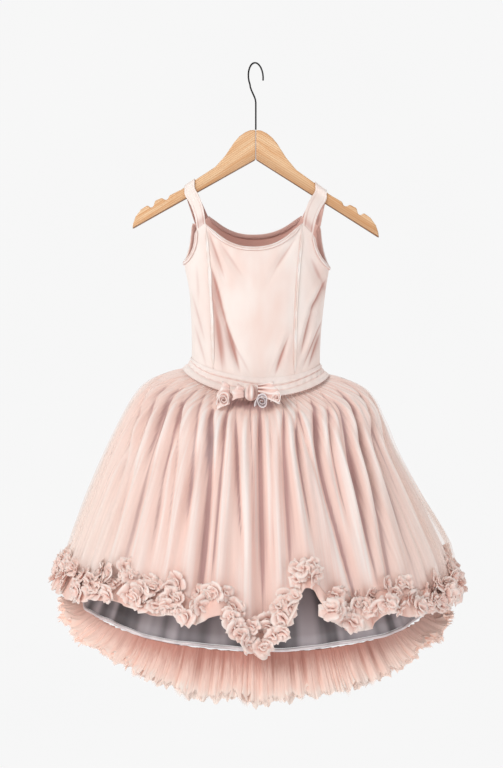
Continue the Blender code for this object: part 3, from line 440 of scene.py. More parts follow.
def back_top(share):
    """Places on the back's top edge, from the left strap's outer end to the right one's."""
    left, right = STRAP_BACK["left"], STRAP_BACK["right"]
    corners = [0.0, BACK_CORNER, 1.0 - BACK_CORNER, 1.0]
    x = np.interp(share, corners, [left.outer_x, left.inner_x, right.inner_x, right.outer_x])
    ends = np.interp(share, corners, [left.outer_z, left.inner_z, right.inner_z, right.outer_z]) - 0.8
    middle = (share >= BACK_CORNER) & (share <= 1.0 - BACK_CORNER)
    return x, np.where(middle, neckline(x, NECK_BACK), ends)


def side_levels(armhole, waist, below):
    """Heights down an armhole and then down the side seam to the waist."""
    under = armhole[0].z
    side_seam = [mix(under, waist, (step + 1) / below) for step in range(below)]
    return [edge.z for edge in reversed(armhole)] + side_seam


def back_places(rows):
    """Angles and heights over the back, with its columns running to the right as seen from behind."""
    far_corner = 1.0 - BACK_CORNER
    shares = np.concatenate([np.linspace(0.0, BACK_CORNER, 14), np.linspace(BACK_CORNER, far_corner, 90)[1:],
                             np.linspace(far_corner, 1.0, 14)[1:]])
    around, down = np.meshgrid(1.0 - shares[::-1], np.linspace(0.0, 1.0, rows))
    levels = {side: side_levels(BACK_ARMHOLE[side], float(waist_z(sign * np.pi / 2.0)) + SEAM_GAP, 4)
              for side, sign in SIDES}
    steps = np.linspace(0.0, 1.0, len(levels["left"]))
    left_z, right_z = np.interp(down, steps, levels["left"]), np.interp(down, steps, levels["right"])
    start = side_edge_angle(BACK_ARMHOLE["right"], right_z, 1, True)
    end = TURN + side_edge_angle(BACK_ARMHOLE["left"], left_z, -1, True)
    top_x, top_z = back_top(1.0 - around)
    even = mix(start, end, around)
    angle = mix(back_angle(top_x, top_z), even, np.minimum(1.0, down * 1.6))
    edge_z = mix(right_z, left_z, around)
    low = waist_z(angle) + SEAM_GAP
    z = mix(mix(top_z, low, down), edge_z, np.abs(2.0 * around - 1.0) ** 6)
    z = mix(z, low, down ** 10)
    angle[:, 0], z[:, 0] = start[:, 0], right_z[:, 0]
    angle[:, -1], z[:, -1] = end[:, -1], left_z[:, -1]
    return angle, z


def arm_top(x):
    """Height of the hanger's upper edge at x."""
    sign = 1.0 if x > 0 else -1.0
    out = column(ARM_UPPER, "out")
    height = -column(ARM_UPPER, "down") - sign * out * math.tan(HANGER_TILT)
    return float(np.interp(abs(x), out, height)) + HANGER_TOP_Z


def ring_point(angle, half_width, z, push):
    """Points of a skirt's oval section, pushed out across it."""
    depth = WAIST_DEPTH + DEPTH_SHARE * (half_width - WAIST_HALF_WIDTH)
    x, y = half_width * np.sin(angle), -depth * np.cos(angle)
    out = np.stack([np.sin(angle) / half_width, -np.cos(angle) / depth], axis=-1)
    out = unit(out) * np.asarray(push)[..., None]
    return np.stack([x + out[..., 0], y + out[..., 1], np.broadcast_to(z, x.shape)], axis=-1)


def flare_at(table, share):
    """Section of a skirt at shares of its length, on curves through its table and straight on past it."""
    keys = np.linspace(0.0, 1.0, len(table))
    extra = np.maximum(0.0, share - 1.0) / (keys[1] - keys[0])
    found = []
    for name in Flare._fields:
        values = column(table, name)
        found.append(smooth_line(keys, values, share) + extra * (values[-1] - values[-2]))
    return Flare(*found)


def fold_wave(angle):
    """Height of the outer skirt's folds, from -1 in a valley to 1 on a ridge, uneven all round."""
    phase = FOLDS * angle + 1.1 * np.sin(3.0 * angle + 0.6) + 0.7 * np.sin(7.0 * angle + 2.0)
    depth = 1.0 + 0.22 * np.sin(5.0 * angle + 1.0) + 0.16 * np.sin(11.0 * angle)
    rounded = 2.0 * np.abs(np.cos(phase / 2.0)) - 1.0
    return mix(np.cos(phase), rounded, 0.55) * depth / 1.38


def trough_press(angle, share):
    """How far the deepest folds press the outer skirt in, in millimetres, and their painted shade lines and
    highlights.
    """
    press, line = np.zeros_like(angle), np.zeros_like(angle)
    degrees = np.degrees(np.arctan2(np.sin(angle), np.cos(angle)))
    for fold in TROUGHS:
        along = np.clip((share - fold.start) / (fold.end - fold.start), 0.0, 1.0)
        centre = smooth_line([0.0, 0.5, 1.0], [fold.top, fold.middle, fold.low], along)
        fade = np.clip(np.minimum((share - fold.start + 0.1) / 0.42, (fold.end - share) / 0.14), 0.0, 1.0)
        fade = fade * fade * (3.0 - 2.0 * fade)
        away = (degrees - centre + 180.0) % 360.0 - 180.0
        near = away / (1.35 * fold.wide)
        press += fold.deep * fade * (np.exp(-near ** 2) - 0.3 * np.exp(-(np.abs(near) - 1.9) ** 2))
        # Painted shade: a dark line down each trough and softer shade on one side, and a painted highlight on the
        # other.
        lit = near * np.sign(fold.middle if fold.middle < 180.0 else fold.middle - 360.0)
        stroke = 1.9 * bell(near, 0.0, 0.2) + 0.42 * bell(lit, 0.6, 0.8) - 0.9 * bell(lit, -0.9, 0.3)
        line += fold.deep / 10.0 * fade * stroke
    return press, line


def overskirt_base(angle, share, spread=0.0):
    """Points on the outer skirt, its folds' height and their painted shade lines. share runs from the waist to the
    hem.
    """
    section = flare_at(OVERSKIRT, share)
    front = np.maximum(0.0, np.cos(angle))
    degrees = np.degrees(np.arctan2(np.sin(angle), np.cos(angle)))
    lower = eased_table(HEM, "degrees", "lower", degrees)
    fall = section.fall * (1.0 + lower / OVERSKIRT[-1].fall) + section.front_fall * front
    gathers = np.sin(150.0 * angle + 2.0 * np.sin(9.0 * angle)) * np.clip(1.5 - 3.0 * share, 0.12, 1.2)
    lower_gathers = 0.9 * np.sin(83.0 * angle + 1.5 * np.sin(4.0 * angle) + 5.0 * share)
    gathers = gathers + lower_gathers * np.clip(share * 3.0, 0.0, 1.0)
    press, line = trough_press(angle, share)
    grown = np.clip((share - 0.08) / 0.5, 0.22, 1.0)
    wave = 0.4 * fold_wave(angle + 0.05 * np.sin(3.0 * share + 2.0 * angle)) * section.fold
    right = np.maximum(0.0, np.sin(angle)) ** 3
    fuller, slimmer = bell(share, 0.95, 0.05), bell(share, 0.72, 0.12)
    spread = spread + right * (6.0 * fuller - 10.0 * slimmer)
    height = grown * (wave - 1.05 * press) + gathers
    points = ring_point(angle, section.half_width, waist_z(angle) - fall, height + spread)
    return points, height, line


def overskirt(angle, share, out):
    """Points at a distance out from the outer skirt's outer side."""
    points = overskirt_base(angle, share)[0]
    turn, step = 0.006, 0.004
    along = overskirt_base(angle + turn, share)[0] - overskirt_base(angle - turn, share)[0]
    down = overskirt_base(angle, share + step)[0] - overskirt_base(angle, np.maximum(share - step, 0.0))[0]
    return points + unit(np.cross(down, along)) * np.asarray(out)[..., None]


def ruffle_wave(angle):
    """The hem ruffle's waves, from -1 to 1."""
    return np.sin(RUFFLE_WAVES * angle + 0.5 * np.sin(5.0 * angle))


def ruffle(angle, share, out):
    """Points out from the hem ruffle's outer side, from its sewn top to its free edge."""
    fine = 1.1 * np.sin(171.0 * angle + 1.5 * np.sin(13.0 * angle)) * share
    lift = 2.0 + share * (5.0 + 3.6 * ruffle_wave(angle)) + fine
    return overskirt(angle, RUFFLE_TOP + share * RUFFLE_TALL, lift + out)


def lining_point(angle, share):
    """Points on the lining skirt's outer side."""
    section = flare_at(LINING, share)
    fall = section.fall + section.front_fall * np.maximum(0.0, np.cos(angle))
    wave = np.sin(LINING_WAVES * angle + 0.5) + 0.25 * np.sin(31.0 * angle + 3.0 * share)
    return ring_point(angle, section.half_width, waist_z(angle) - fall, LINING_PUSH + section.fold * wave), wave


# Meshes


def deselect_all():
    """Leave nothing selected or active."""
    for piece in bpy.context.view_layer.objects:
        piece.select_set(False)
    bpy.context.view_layer.objects.active = None


def edit(piece, mode):
    """Select one piece and enter edit mode with the given kind of element."""
    deselect_all()
    piece.select_set(True)
    bpy.context.view_layer.objects.active = piece
    bpy.ops.object.mode_set(mode="EDIT")
    bpy.ops.mesh.select_mode(type=mode)


def apply_modifier(piece, kind, **settings):
    """Add a modifier with these settings and apply it."""
    deselect_all()
    piece.select_set(True)
    bpy.context.view_layer.objects.active = piece
    modifier = piece.modifiers.new(kind.title(), kind)
    for name, value in settings.items():
        setattr(modifier, name, value)
    bpy.ops.object.modifier_apply(modifier=modifier.name)


def add_sheet(name, points, materials, closed=False, shade=None, thick=0.0, cuts=0, caps=False):
    """A sheet of cloth shaped from a grid of points.

    Rows run down and columns to the right, as seen from its outer side. closed joins its first and last
    columns. cuts is the number of columns after which a new separate patch starts. caps closes the ends of
    a tube. thick gives it a wall, inward from the points.
    """
    rows, columns = points.shape[:2]
    if closed:
        points = np.concatenate([points, points[:, :1]], axis=1)
        shade = None if shade is None else np.concatenate([shade, shade[:, :1]], axis=1)
        columns += 1
    deselect_all()
    bpy.ops.mesh.primitive_grid_add(x_subdivisions=columns - 1, y_subdivisions=rows - 1, size=1.0)
    piece = bpy.context.active_object
    piece.name = name
    mesh = piece.data
    mesh.name = name
    places = np.empty(len(mesh.vertices) * 3)
    mesh.vertices.foreach_get("co", places)
    places = places.reshape(-1, 3)
    if len(places) != rows * columns:
        raise ValueError("the grid of " + name + " has another number of points than its shape")
    across = np.rint((places[:, 0] + 0.5) * (columns - 1)).astype(int)
    down = np.rint((0.5 - places[:, 1]) * (rows - 1)).astype(int)
    mesh.vertices.foreach_set("co", (points[down, across] * MM).ravel())
    if shade is not None:
        layer = mesh.attributes.new("shade", "FLOAT", "POINT")
        layer.data.foreach_set("value", np.ascontiguousarray(shade[down, across], dtype=np.float32))
    mesh.update()
    if cuts:
        cut_patches(piece, mesh, across, cuts)
    before = mesh.polygons[0].normal.copy()
    edit(piece, "VERT")
    bpy.ops.mesh.select_all(action="SELECT")
    if closed:
        bpy.ops.mesh.remove_doubles(threshold=WELD_DISTANCE)
    if caps:
        bpy.ops.mesh.select_all(action="DESELECT")
        bpy.ops.mesh.select_non_manifold()
        bpy.ops.mesh.fill_holes(sides=0)
        bpy.ops.mesh.select_all(action="SELECT")
        bpy.ops.mesh.normals_make_consistent(inside=False)
    elif closed:
        bpy.ops.mesh.normals_make_consistent(inside=False)
    bpy.ops.object.mode_set(mode="OBJECT")
    if closed and not caps and mesh.polygons[0].normal.dot(before) < 0.0:
        edit(piece, "FACE")
        bpy.ops.mesh.select_all(action="SELECT")
        bpy.ops.mesh.flip_normals()
        bpy.ops.object.mode_set(mode="OBJECT")
    for material in materials:
        mesh.materials.append(material)
    if thick:
        apply_modifier(piece, "SOLIDIFY", thickness=thick * MM, offset=-1.0,
                       material_offset=len(materials) - 1)
    deselect_all()
    piece.select_set(True)
    bpy.context.view_layer.objects.active = piece
    bpy.ops.object.shade_smooth()
    return piece


def cut_patches(piece, mesh, across, cuts):
    """Part a grid into patches of a number of columns, each with a map of its own."""
    uv = mesh.uv_layers.active.data
    corner = np.empty(len(mesh.loops), dtype=np.int32)
    mesh.loops.foreach_get("vertex_index", corner)
    flat = np.empty(len(mesh.loops) * 2, dtype=np.float32)
    uv.foreach_get("uv", flat)
    flat = flat.reshape(-1, 2)
    flat[:, 0] = (across[corner] % cuts) / (cuts - 1.0)
    uv.foreach_set("uv", flat.ravel())
    edit(piece, "FACE")
    bpy.ops.mesh.select_all(action="DESELECT")
    bpy.ops.object.mode_set(mode="OBJECT")
    first = across[corner[::4]]
    starts = np.minimum.reduce([across[corner[part::4]] for part in range(4)])
    link = (starts % cuts) == cuts - 1
    mesh.polygons.foreach_set("select", link[:len(first)])
    edit(piece, "FACE")
    bpy.ops.mesh.delete(type="FACE")
    bpy.ops.object.mode_set(mode="OBJECT")


def finish_piece(piece, nodes):
    """Let a piece hang on the dress's body and stand for its CAD nodes."""
    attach(piece, BODY)
    if nodes:
        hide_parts(*nodes)


# Finishes


class Value:
    """A shader socket that takes part in sums."""

    def __init__(self, finish, socket):
        self.finish, self.socket = finish, socket

    def work(self, operation, *others):
        """The result of a Math node on the value and others."""
        node = self.finish.node("ShaderNodeMath", {"operation": operation}, dict(enumerate((self, *others))))
        return Value(self.finish, node.outputs[0])

    def __add__(self, other):
        return self.work("ADD", other)

    __radd__ = __add__

    def __sub__(self, other):
        return self.work("SUBTRACT", other)

    def __rsub__(self, other):
        return (self * -1.0).work("ADD", other)

    def __mul__(self, other):
        return self.work("MULTIPLY", other)

    __rmul__ = __mul__

    def smooth(self, low, high, start=0.0, end=1.0):
        """The value eased from start at low to end at high."""
        node = self.finish.node("ShaderNodeMapRange", {"interpolation_type": "SMOOTHSTEP"},
                                {"Value": self, "From Min": low, "From Max": high, "To Min": start, "To Max": end})
        return Value(self.finish, node.outputs[0])


class Finish:
    """One material's nodes, built round its Principled shader."""

    def __init__(self, name, roughness=0.7, sheen=0.0, sheen_tint="ffffff", **fixed):
        self.material = bpy.data.materials.new(name)
        self.material.use_nodes = True
        self.tree = self.material.node_tree
        self.shader = self.tree.nodes["Principled BSDF"]
        self.put(roughness, "Roughness")
        self.put(sheen, "Sheen Weight")
        self.put(SHEEN_ROUGHNESS, "Sheen Roughness")
        self.put(colour(sheen_tint), "Sheen Tint")
        for key, value in fixed.items():
            self.put(value, key.replace("_", " ").title())

    def node(self, kind, settings, inputs):
        """A node of a kind with these settings and these values or links at its sockets."""
        made = self.tree.nodes.new(kind)
        for key, value in settings.items():
            setattr(made, key, value)
        for key, value in inputs.items():
            self.feed(made.inputs[key], value)
        return made

    def feed(self, socket, value):
        """Link a value to a socket, or set the socket to it."""
        if isinstance(value, Value):
            self.tree.links.new(value.socket, socket)
        else:
            socket.default_value = value

    def put(self, value, name):
        """Feed one socket of the main shader."""
        self.feed(self.shader.inputs[name], value)

    def place(self, scale=(1.0, 1.0, 1.0), turn=(0.0, 0.0, 0.0)):
        """Object coordinates, scaled and turned."""
        source = self.node("ShaderNodeTexCoord", {}, {})
        node = self.node("ShaderNodeMapping", {}, {"Vector": Value(self, source.outputs["Object"]),
                                                   "Rotation": turn, "Scale": scale})
        return Value(self, node.outputs[0])

    def map(self, scale=(1.0, 1.0, 1.0)):
        """The piece's own map, scaled."""
        source = self.node("ShaderNodeUVMap", {"uv_map": "UVMap"}, {})
        node = self.node("ShaderNodeMapping", {}, {"Vector": Value(self, source.outputs[0]), "Scale": scale})
        return Value(self, node.outputs[0])

    def axes(self, vector):
        """The three parts of a vector."""
        node = self.node("ShaderNodeSeparateXYZ", {}, {0: vector})
        return [Value(self, output) for output in node.outputs]

    def shade(self):
        """The value that the mesh carries for its folds."""
        node = self.node("ShaderNodeAttribute", {"attribute_name": "shade"}, {})
        return Value(self, node.outputs["Fac"])

    def noise(self, vector, scale, detail=3.0, rough=0.5, twist=0.0):
        """Soft noise from 0 to 1."""
        node = self.node("ShaderNodeTexNoise", {}, {"Vector": vector, "Scale": scale, "Detail": detail,
                                                   "Roughness": rough, "Distortion": twist})
        return Value(self, node.outputs[0])

    def wave(self, vector, scale, twist=0.0, direction="X", detail=0.0):
        """Even bands from 0 to 1."""
        node = self.node("ShaderNodeTexWave", {"bands_direction": direction},
                         {"Vector": vector, "Scale": scale, "Distortion": twist, "Detail": detail})
        return Value(self, node.outputs["Fac"])

    def blend(self, share, low, high):
        """A colour between two others."""
        low = colour(low) if isinstance(low, str) else low
        high = colour(high) if isinstance(high, str) else high
        node = self.node("ShaderNodeMix", {"data_type": "RGBA"}, {0: share, 6: low, 7: high})
        return Value(self, node.outputs[2])

    def bump(self, height, strength=0.3, distance=0.0005):
        """Raise the surface by a height."""
        node = self.node("ShaderNodeBump", {}, {"Height": height, "Strength": strength, "Distance": distance})
        self.put(Value(self, node.outputs[0]), "Normal")

    def weave(self, threads):
        """Crossing threads at a number a metre, from 0 to 1."""
        along = self.wave(self.place((threads, threads, threads), (0.0, 0.0, 0.785)), 0.32, direction="X")
        up = self.wave(self.place((threads, threads, threads)), 0.32, direction="Z")
        return along * 0.5 + up * 0.5


def colour(text):
    """A colour written as six sRGB digits, as linear values."""
    parts = [int(text[at:at + 2], 16) / 255.0 for at in (0, 2, 4)]
    return (*[part / 12.92 if part <= 0.04045 else ((part + 0.055) / 1.055) ** 2.4 for part in parts], 1.0)


def wood_finish():
    """Pale oiled wood with grain along the arms, and painted shade on their lower side."""
    made = Finish("hanger_wood", roughness=0.5, coat_weight=0.12, coat_roughness=0.35)
    place = made.place((14.0, 60.0, 120.0))
    x, y, z = made.axes(made.place())
    lean = z + 0.62 * x.work("ABSOLUTE")
    joined = made.node("ShaderNodeCombineXYZ", {}, {0: x * 9.0, 1: y * 60.0, 2: lean * 130.0})
    along = Value(made, joined.outputs[0])
    grain = made.noise(along, 1.6, 5.0, 0.62, 0.4)
    rings = made.wave(along, 0.8, 3.0, "Z", 2.0)
    pores = made.noise(place, 6.0, 2.0, 0.7)
    base = made.blend(grain.smooth(0.3, 0.72), "f5d3ab", "e0aa78")
    base = made.blend(rings.smooth(0.55, 1.0, 0.0, 0.5), base, "c98a52")
    base = made.blend(pores.smooth(0.6, 0.75, 0.0, 0.25), base, "a96c3d")
    # Painted shade: darker towards the lower side of each arm, and a painted shadow line along its lower edge.
    base = made.blend(lean.smooth(-0.112, -0.128, 0.0, 0.4), base, "a8703f")
    low = z + 0.589 * x.work("ABSOLUTE") + 0.036 * x
    base = made.blend(low.smooth(-0.1298, -0.1316, 0.0, 0.85), base, "6b432d")
    seam = x.work("ABSOLUTE").smooth(0.0003, 0.0012, 0.55, 0.0)
    base = made.blend(seam, base, "7a4a26")
    made.put(base, "Base Color")
    made.put(grain.smooth(0.2, 0.8, 0.42, 0.6), "Roughness")
    made.bump(grain + rings * 0.5, 0.25, 0.0004)
    return made.material


def wire_finish():
    """Dark steel wire with a worn lacquer."""
    made = Finish("hook_wire", roughness=0.36, metallic=0.85)
    wear = made.noise(made.place(), 420.0, 4.0, 0.6)
    made.put(made.blend(wear.smooth(0.55, 0.8), "1c1b1b", "4a4644"), "Base Color")
    made.put(wear.smooth(0.3, 0.8, 0.28, 0.55), "Roughness")
    made.bump(wear, 0.12, 0.0002)
    return made.material


def satin_finish(name, light, middle, dark, threads=2600.0, sheen=0.25):
    """Matt stretch satin with painted shade in its folds and painted highlights on their ridges, with a fine
    weave.
    """
    made = Finish(name, roughness=0.62, sheen=sheen, sheen_tint="fff1ea")
    drift = made.noise(made.place((1.0, 1.0, 0.45)), 13.0, 3.0, 0.55)
    shade = made.shade()
    base = made.blend(drift.smooth(0.35, 0.7), light, middle)
    # Painted shade in the folds where the mesh's shade value is high, and a painted highlight where it is below
    # zero.
    base = made.blend(shade.smooth(0.1, 0.95, 0.0, 0.92), base, dark)
    base = made.blend(shade.smooth(-0.05, -0.4, 0.0, 0.6), base, "fbf2ec")
    weave = made.weave(threads)
    base = made.blend(weave.smooth(0.1, 0.5, 0.1, 0.0), base, dark)
    made.put(base, "Base Color")
    made.put(drift.smooth(0.3, 0.7, 0.55, 0.7), "Roughness")
    made.bump(weave + made.noise(made.place(), 260.0, 2.0) * 0.6, 0.22, 0.0002)
    return made.material


def binding_finish():
    """Pale bias binding with a line of stitches along its edge, and painted shade on its inner face at the back.
    """
    made = Finish("binding", roughness=0.6, sheen=0.2)
    u = made.axes(made.map())[0]
    edge = (u - 0.12).work("ABSOLUTE").smooth(0.0, 0.05, 1.0, 0.0)
    dash = made.wave(made.map((0.0, 1.0, 0.0)), 26.0, direction="Y").smooth(0.35, 0.5)
    drift = made.noise(made.place(), 40.0, 3.0)
    base = made.blend(drift.smooth(0.35, 0.7), "fff8f4", "f7e4db")
    # Painted shade on the tape's inner face towards the back, where it shows inside the neck.
    inner = (u - 0.47).work("ABSOLUTE").smooth(0.13, 0.2, 1.0, 0.0)
    back = made.axes(made.place())[1].smooth(-0.004, 0.004)
    base = made.blend(inner * back * 0.85, base, "c9978b")
    base = made.blend(edge * dash * 0.8, base, "cf9282")
    base = made.blend((u - 0.02).work("ABSOLUTE").smooth(0.0, 0.05, 0.9, 0.0), base, "d79d90")
    made.put(base, "Base Color")
    made.bump(made.weave(2600.0) - edge * dash * 2.0, 0.3, 0.0003)
    return made.material


def tulle_finish():
    """Layered tulle with painted highlights on its ridges and painted rose shade in its folds, cream towards the
    sides.
    """
    made = Finish("tulle", roughness=0.85, sheen=0.35, sheen_tint="fff0e8")
    light, middle, dark = "fdf4f0", "f7d8ce", "be9895"
    x = made.axes(made.place())[0]
    shade = made.shade()
    streak = made.noise(made.map((420.0, 3.0, 1.0)), 1.0, 3.0, 0.6)
    band = made.noise(made.map((120.0, 1.6, 1.0)), 1.0, 2.0, 0.5)
    wash = made.noise(made.place((1.0, 1.0, 0.5)), 9.0, 3.0, 0.6)
    panel = made.noise(made.map((16.0, 1.3, 1.0)), 1.0, 2.0, 0.5)
    level = shade + (streak - 0.5) * 0.4 + (band - 0.5) * 0.5 + (wash - 0.5) * 0.3 + (panel - 0.5) * 0.5
    # Painted shade and highlights from the mesh's shade value, broken up by random streaks and washes.
    base = made.blend(level.smooth(0.05, 0.5), dark, middle)
    base = made.blend(level.smooth(0.5, 0.98), base, light)
    # Cream towards both sides where the tulle is sheer, and paler still on the left: painted light.
    side = x.work("ABSOLUTE").smooth(0.12, 0.3) + x.smooth(-0.12, -0.24, 0.0, 0.45)
    base = made.blend(side * 0.65, base, "fbf1ec")
    # Painted shade: a mauve grey in the darkest folds.
    grey = made.noise(made.place((3.0, 3.0, 1.0)), 4.0, 2.0).smooth(0.5, 0.75) * level.smooth(0.55, 0.1)
    base = made.blend(grey * 0.75, base, "c6b2b5")
    made.put(base, "Base Color")
    mesh = made.noise(made.place(), 2400.0, 1.0)
    made.bump(streak + mesh * 0.3, 0.25, 0.0006)
    return made.material


def veil_finish():
    """The sheer outer layer, thin enough to see the folds through."""
    made = Finish("tulle_veil", roughness=0.9, sheen=0.5, sheen_tint="fff4ee")
    v = made.axes(made.map())[1]
    streak = made.noise(made.map((260.0, 2.0, 1.0)), 1.0, 3.0, 0.6)
    x = made.axes(made.place())[0]
    side = x.work("ABSOLUTE").smooth(0.1, 0.3, 0.05, 0.34)
    made.put(made.blend(streak, "fbe9dd", "f7dccf"), "Base Color")
    edge = v.smooth(0.0, 0.1, 0.3, 1.0)
    made.put(side * streak.smooth(0.25, 0.7, 0.55, 1.0) * edge, "Alpha")
    return made.material


def chiffon_finish(name="chiffon", light="fdeee6", middle="f4cfc3", dark="d99c8e"):
    """Chiffon petals with painted shade at the root and painted light towards the rim, with a turned edge."""
    made = Finish(name, roughness=0.8, sheen=0.4, sheen_tint="fff0ea")
    drift = made.noise(made.place(), 60.0, 3.0, 0.6)
    shade = made.shade() + (drift - 0.5) * 0.4
    # The mesh's shade value runs from painted shade at 0 to painted highlight at 1.
    base = made.blend(shade.smooth(0.0, 0.55), dark, middle)
    base = made.blend(shade.smooth(0.55, 1.0), base, light)
    made.put(base, "Base Color")
    made.bump(made.noise(made.place(), 700.0, 2.0) + drift * 2.0, 0.25, 0.0004)
    return made.material


def grey_satin_finish():
    """Grey lining satin with painted bands of sheen and shade."""
    made = Finish("grey_satin", roughness=0.42, sheen=0.15)
    # Painted sheen and shade: bright and dark bands round the satin.
    bands = made.noise(made.map((34.0, 1.2, 1.0)), 1.0, 2.0, 0.5, 0.4)
    wash = made.noise(made.place(), 16.0, 3.0, 0.6)
    base = made.blend(bands.smooth(0.36, 0.64), "565154", "b3a9ad")
    base = made.blend(wash.smooth(0.5, 0.8, 0.0, 0.4), base, "8d8286")
    made.put(base, "Base Color")
    made.put(bands.smooth(0.3, 0.7, 0.5, 0.36), "Roughness")
    made.bump(bands + made.weave(2600.0) * 0.1, 0.3, 0.001)
    return made.material


def rim_finish():
    """Pale satin cord round the lining's edge."""
    made = Finish("rim_satin", roughness=0.45, sheen=0.2)
    wash = made.noise(made.place(), 30.0, 3.0, 0.6)
    made.put(made.blend(wash.smooth(0.4, 0.75), "f4edef", "cdc4c7"), "Base Color")
    made.bump(made.weave(2600.0), 0.2, 0.0002)
    return made.material


def net_finish(name, shift, feathered):
    """Crisp gathered net with painted shade towards its sewn edge and in its pleats, paler at its free edge, which
    frays where it is feathered.
    """
    made = Finish(name, roughness=0.9, sheen=0.4, sheen_tint="ffeee6")
    v = made.axes(made.map())[1]
    strand = made.noise(made.map((900.0, 4.0, 1.0)), 1.0 + shift, 4.0, 0.65)
    broad = made.noise(made.map((150.0, 1.0, 1.0)), 1.0 + shift, 2.0, 0.5)
    x = made.axes(made.place())[0]
    level = v + (strand - 0.5) * 0.5 + (broad - 0.5) * 0.35
    # Painted shade: darker towards the rim above, paler towards the free edge.
    base = made.blend(level.smooth(0.35, 1.0), "fbd9cc", "c88c7e")
    base = made.blend(level.smooth(0.42, -0.05), base, "fff0e7")
    # Painted shade in the pleats, most near the rim.
    base = made.blend(made.shade().smooth(0.62, 0.05, 0.0, 0.8) * v.smooth(0.1, 0.75), base, "b5796c")
    # Painted light: paler towards the sides.
    base = made.blend(x.work("ABSOLUTE").smooth(0.12, 0.27, 0.0, 0.6), base, "ffe9de")
    made.put(base, "Base Color")
    # Painted glow: a faint emission on the sides stands in for light shining through the net.
    through = x.smooth(-0.1, -0.25) + x.smooth(0.12, 0.26, 0.0, 0.5)
    made.put(made.blend(through, "000000", "5c443c"), "Emission Color")
    made.put(1.0, "Emission Strength")
    if feathered:
        made.put((v - strand * 0.08).smooth(0.0, 0.14), "Alpha")
    made.bump(strand, 0.15, 0.0004)
    return made.material


def backdrop_finish():
    """An even pale paper for the studio."""
    made = Finish("paper", roughness=1.0)
    made.put(colour("1a1a1a"), "Base Color")
    made.put(0.0, "Specular IOR Level")
    made.put(made.blend(made.noise(made.place(), 2.0), "f7f7f7", "f5f5f5"), "Emission Color")
    made.put(1.0, "Emission Strength")
    return made.material


# Pieces


def make_panel(name, places, finishes, cloth):
    """One sewn panel of the bodice."""
    points, shade = bodice(*places)
    piece = add_sheet(name + "_cloth", points, finishes, shade=shade, thick=cloth)
    finish_piece(piece, [name])


def strap_points(side, columns, rows):
    """The outer side of a strap, from its back seam over the hanger to its front seam."""
    sign = -1.0 if side == "left" else 1.0
    edges = []
    for part in ("outer", "inner"):
        ends = []
        for table, find in ((STRAP_FRONT, front_angle), (STRAP_BACK, back_angle)):
            x, z = np.array(getattr(table[side], part + "_x")), np.array(getattr(table[side], part + "_z"))
            ends.append(bodice(find(x, z), z)[0])
        top_x = getattr(STRAP_TOP[side], part + "_x")
        over = np.array([(top_x, step.y, arm_top(top_x) + step.rise) for step in STRAP_OVER_ARM])
        share = np.arange(4)[:, None] / 4.0
        rising = mix(ends[0], over[0], share)
        rising[:, 0] -= sign * 3.5 * np.sin(np.pi * share[:, 0])
        rising[:, 1] -= 2.5 * np.sin(np.pi * share[:, 0])
        falling = mix(over[-1], ends[1], share + 0.25)
        path = np.concatenate([rising, over, falling])[::-1]
        past = unit(path[[0, -1]] - path[[1, -2]]) * STRAP_TUCK
        path = np.concatenate([path[:1] + past[:1], path, path[-1:] + past[1:]])
        length = np.concatenate([[0.0], np.cumsum(np.linalg.norm(np.diff(path, axis=0), axis=1))])
        at = np.linspace(0.0, length[-1], rows)
        edges.append(np.stack([smooth_line(length, path[:, axis], at) for axis in range(3)], axis=-1))
    if side == "right":
        edges.reverse()
    across = np.linspace(0.0, 1.0, columns)[None, :, None]
    points = mix(edges[0][:, None], edges[1][:, None], across)
    down = np.linspace(0.0, 1.0, rows)[:, None]
    edge = bell(across[..., 0], 0.05, 0.06) + bell(across[..., 0], 0.95, 0.06)
    soft = 0.5 * np.sin(np.pi * across[..., 0]) * (1.0 + 0.4 * np.sin(9.0 * down + 2.0 * across[..., 0]))
    lift = (0.5 * edge + soft) * np.sin(np.pi * down) ** 0.3
    # Darker at both ends and along two lines near the edges, with painted shade in soft patches along the middle.
    shade = 0.25 * bell(down, 0.06, 0.05) + 0.3 * bell(down, 0.94, 0.05)
    lines = bell(across[..., 0], 0.2, 0.05) + bell(across[..., 0], 0.8, 0.05)
    middle = 0.16 * np.sin(np.pi * across[..., 0]) * (0.6 + np.sin(7.0 * down + 1.0))
    # Painted shadow on the back run of the left strap, where it shows inside the neck.
    if side == "left":
        shade = shade + 0.5 * np.clip((0.46 - down) / 0.1, 0.0, 1.0)
    return points + grid_normals(points) * lift[..., None], shade + 0.42 * lines + middle


def tape_profile():
    """Section of a binding folded over an edge: how far past the edge and how far out."""
    turns = np.radians(np.linspace(90.0, -90.0, 9))
    outer = [(-0.25 + 2.55 * math.cos(turn), -0.75 + 2.55 * math.sin(turn)) for turn in turns]
    inner = [(-0.25 + 1.55 * math.cos(turn), -0.75 + 1.55 * math.sin(turn)) for turn in turns[::-1]]
    return [(-3.6, 1.3), (-3.3, 1.75), (-2.0, 1.85), *outer, (-2.0, -3.3), (-3.6, -3.2), (-3.6, -2.3),
            *inner, (-2.2, 0.8), (-3.5, 0.85)]


def cord_profile():
    """Section of a doubled piping."""
    return [(-2.3, 0.5), (-2.1, 1.4), (-1.25, 2.0), (-0.5, 1.6), (0.0, 1.0), (0.5, 1.6), (1.25, 2.0),
            (2.1, 1.4), (2.3, 0.5), (1.2, 0.4), (0.0, 0.4), (-1.2, 0.4)]


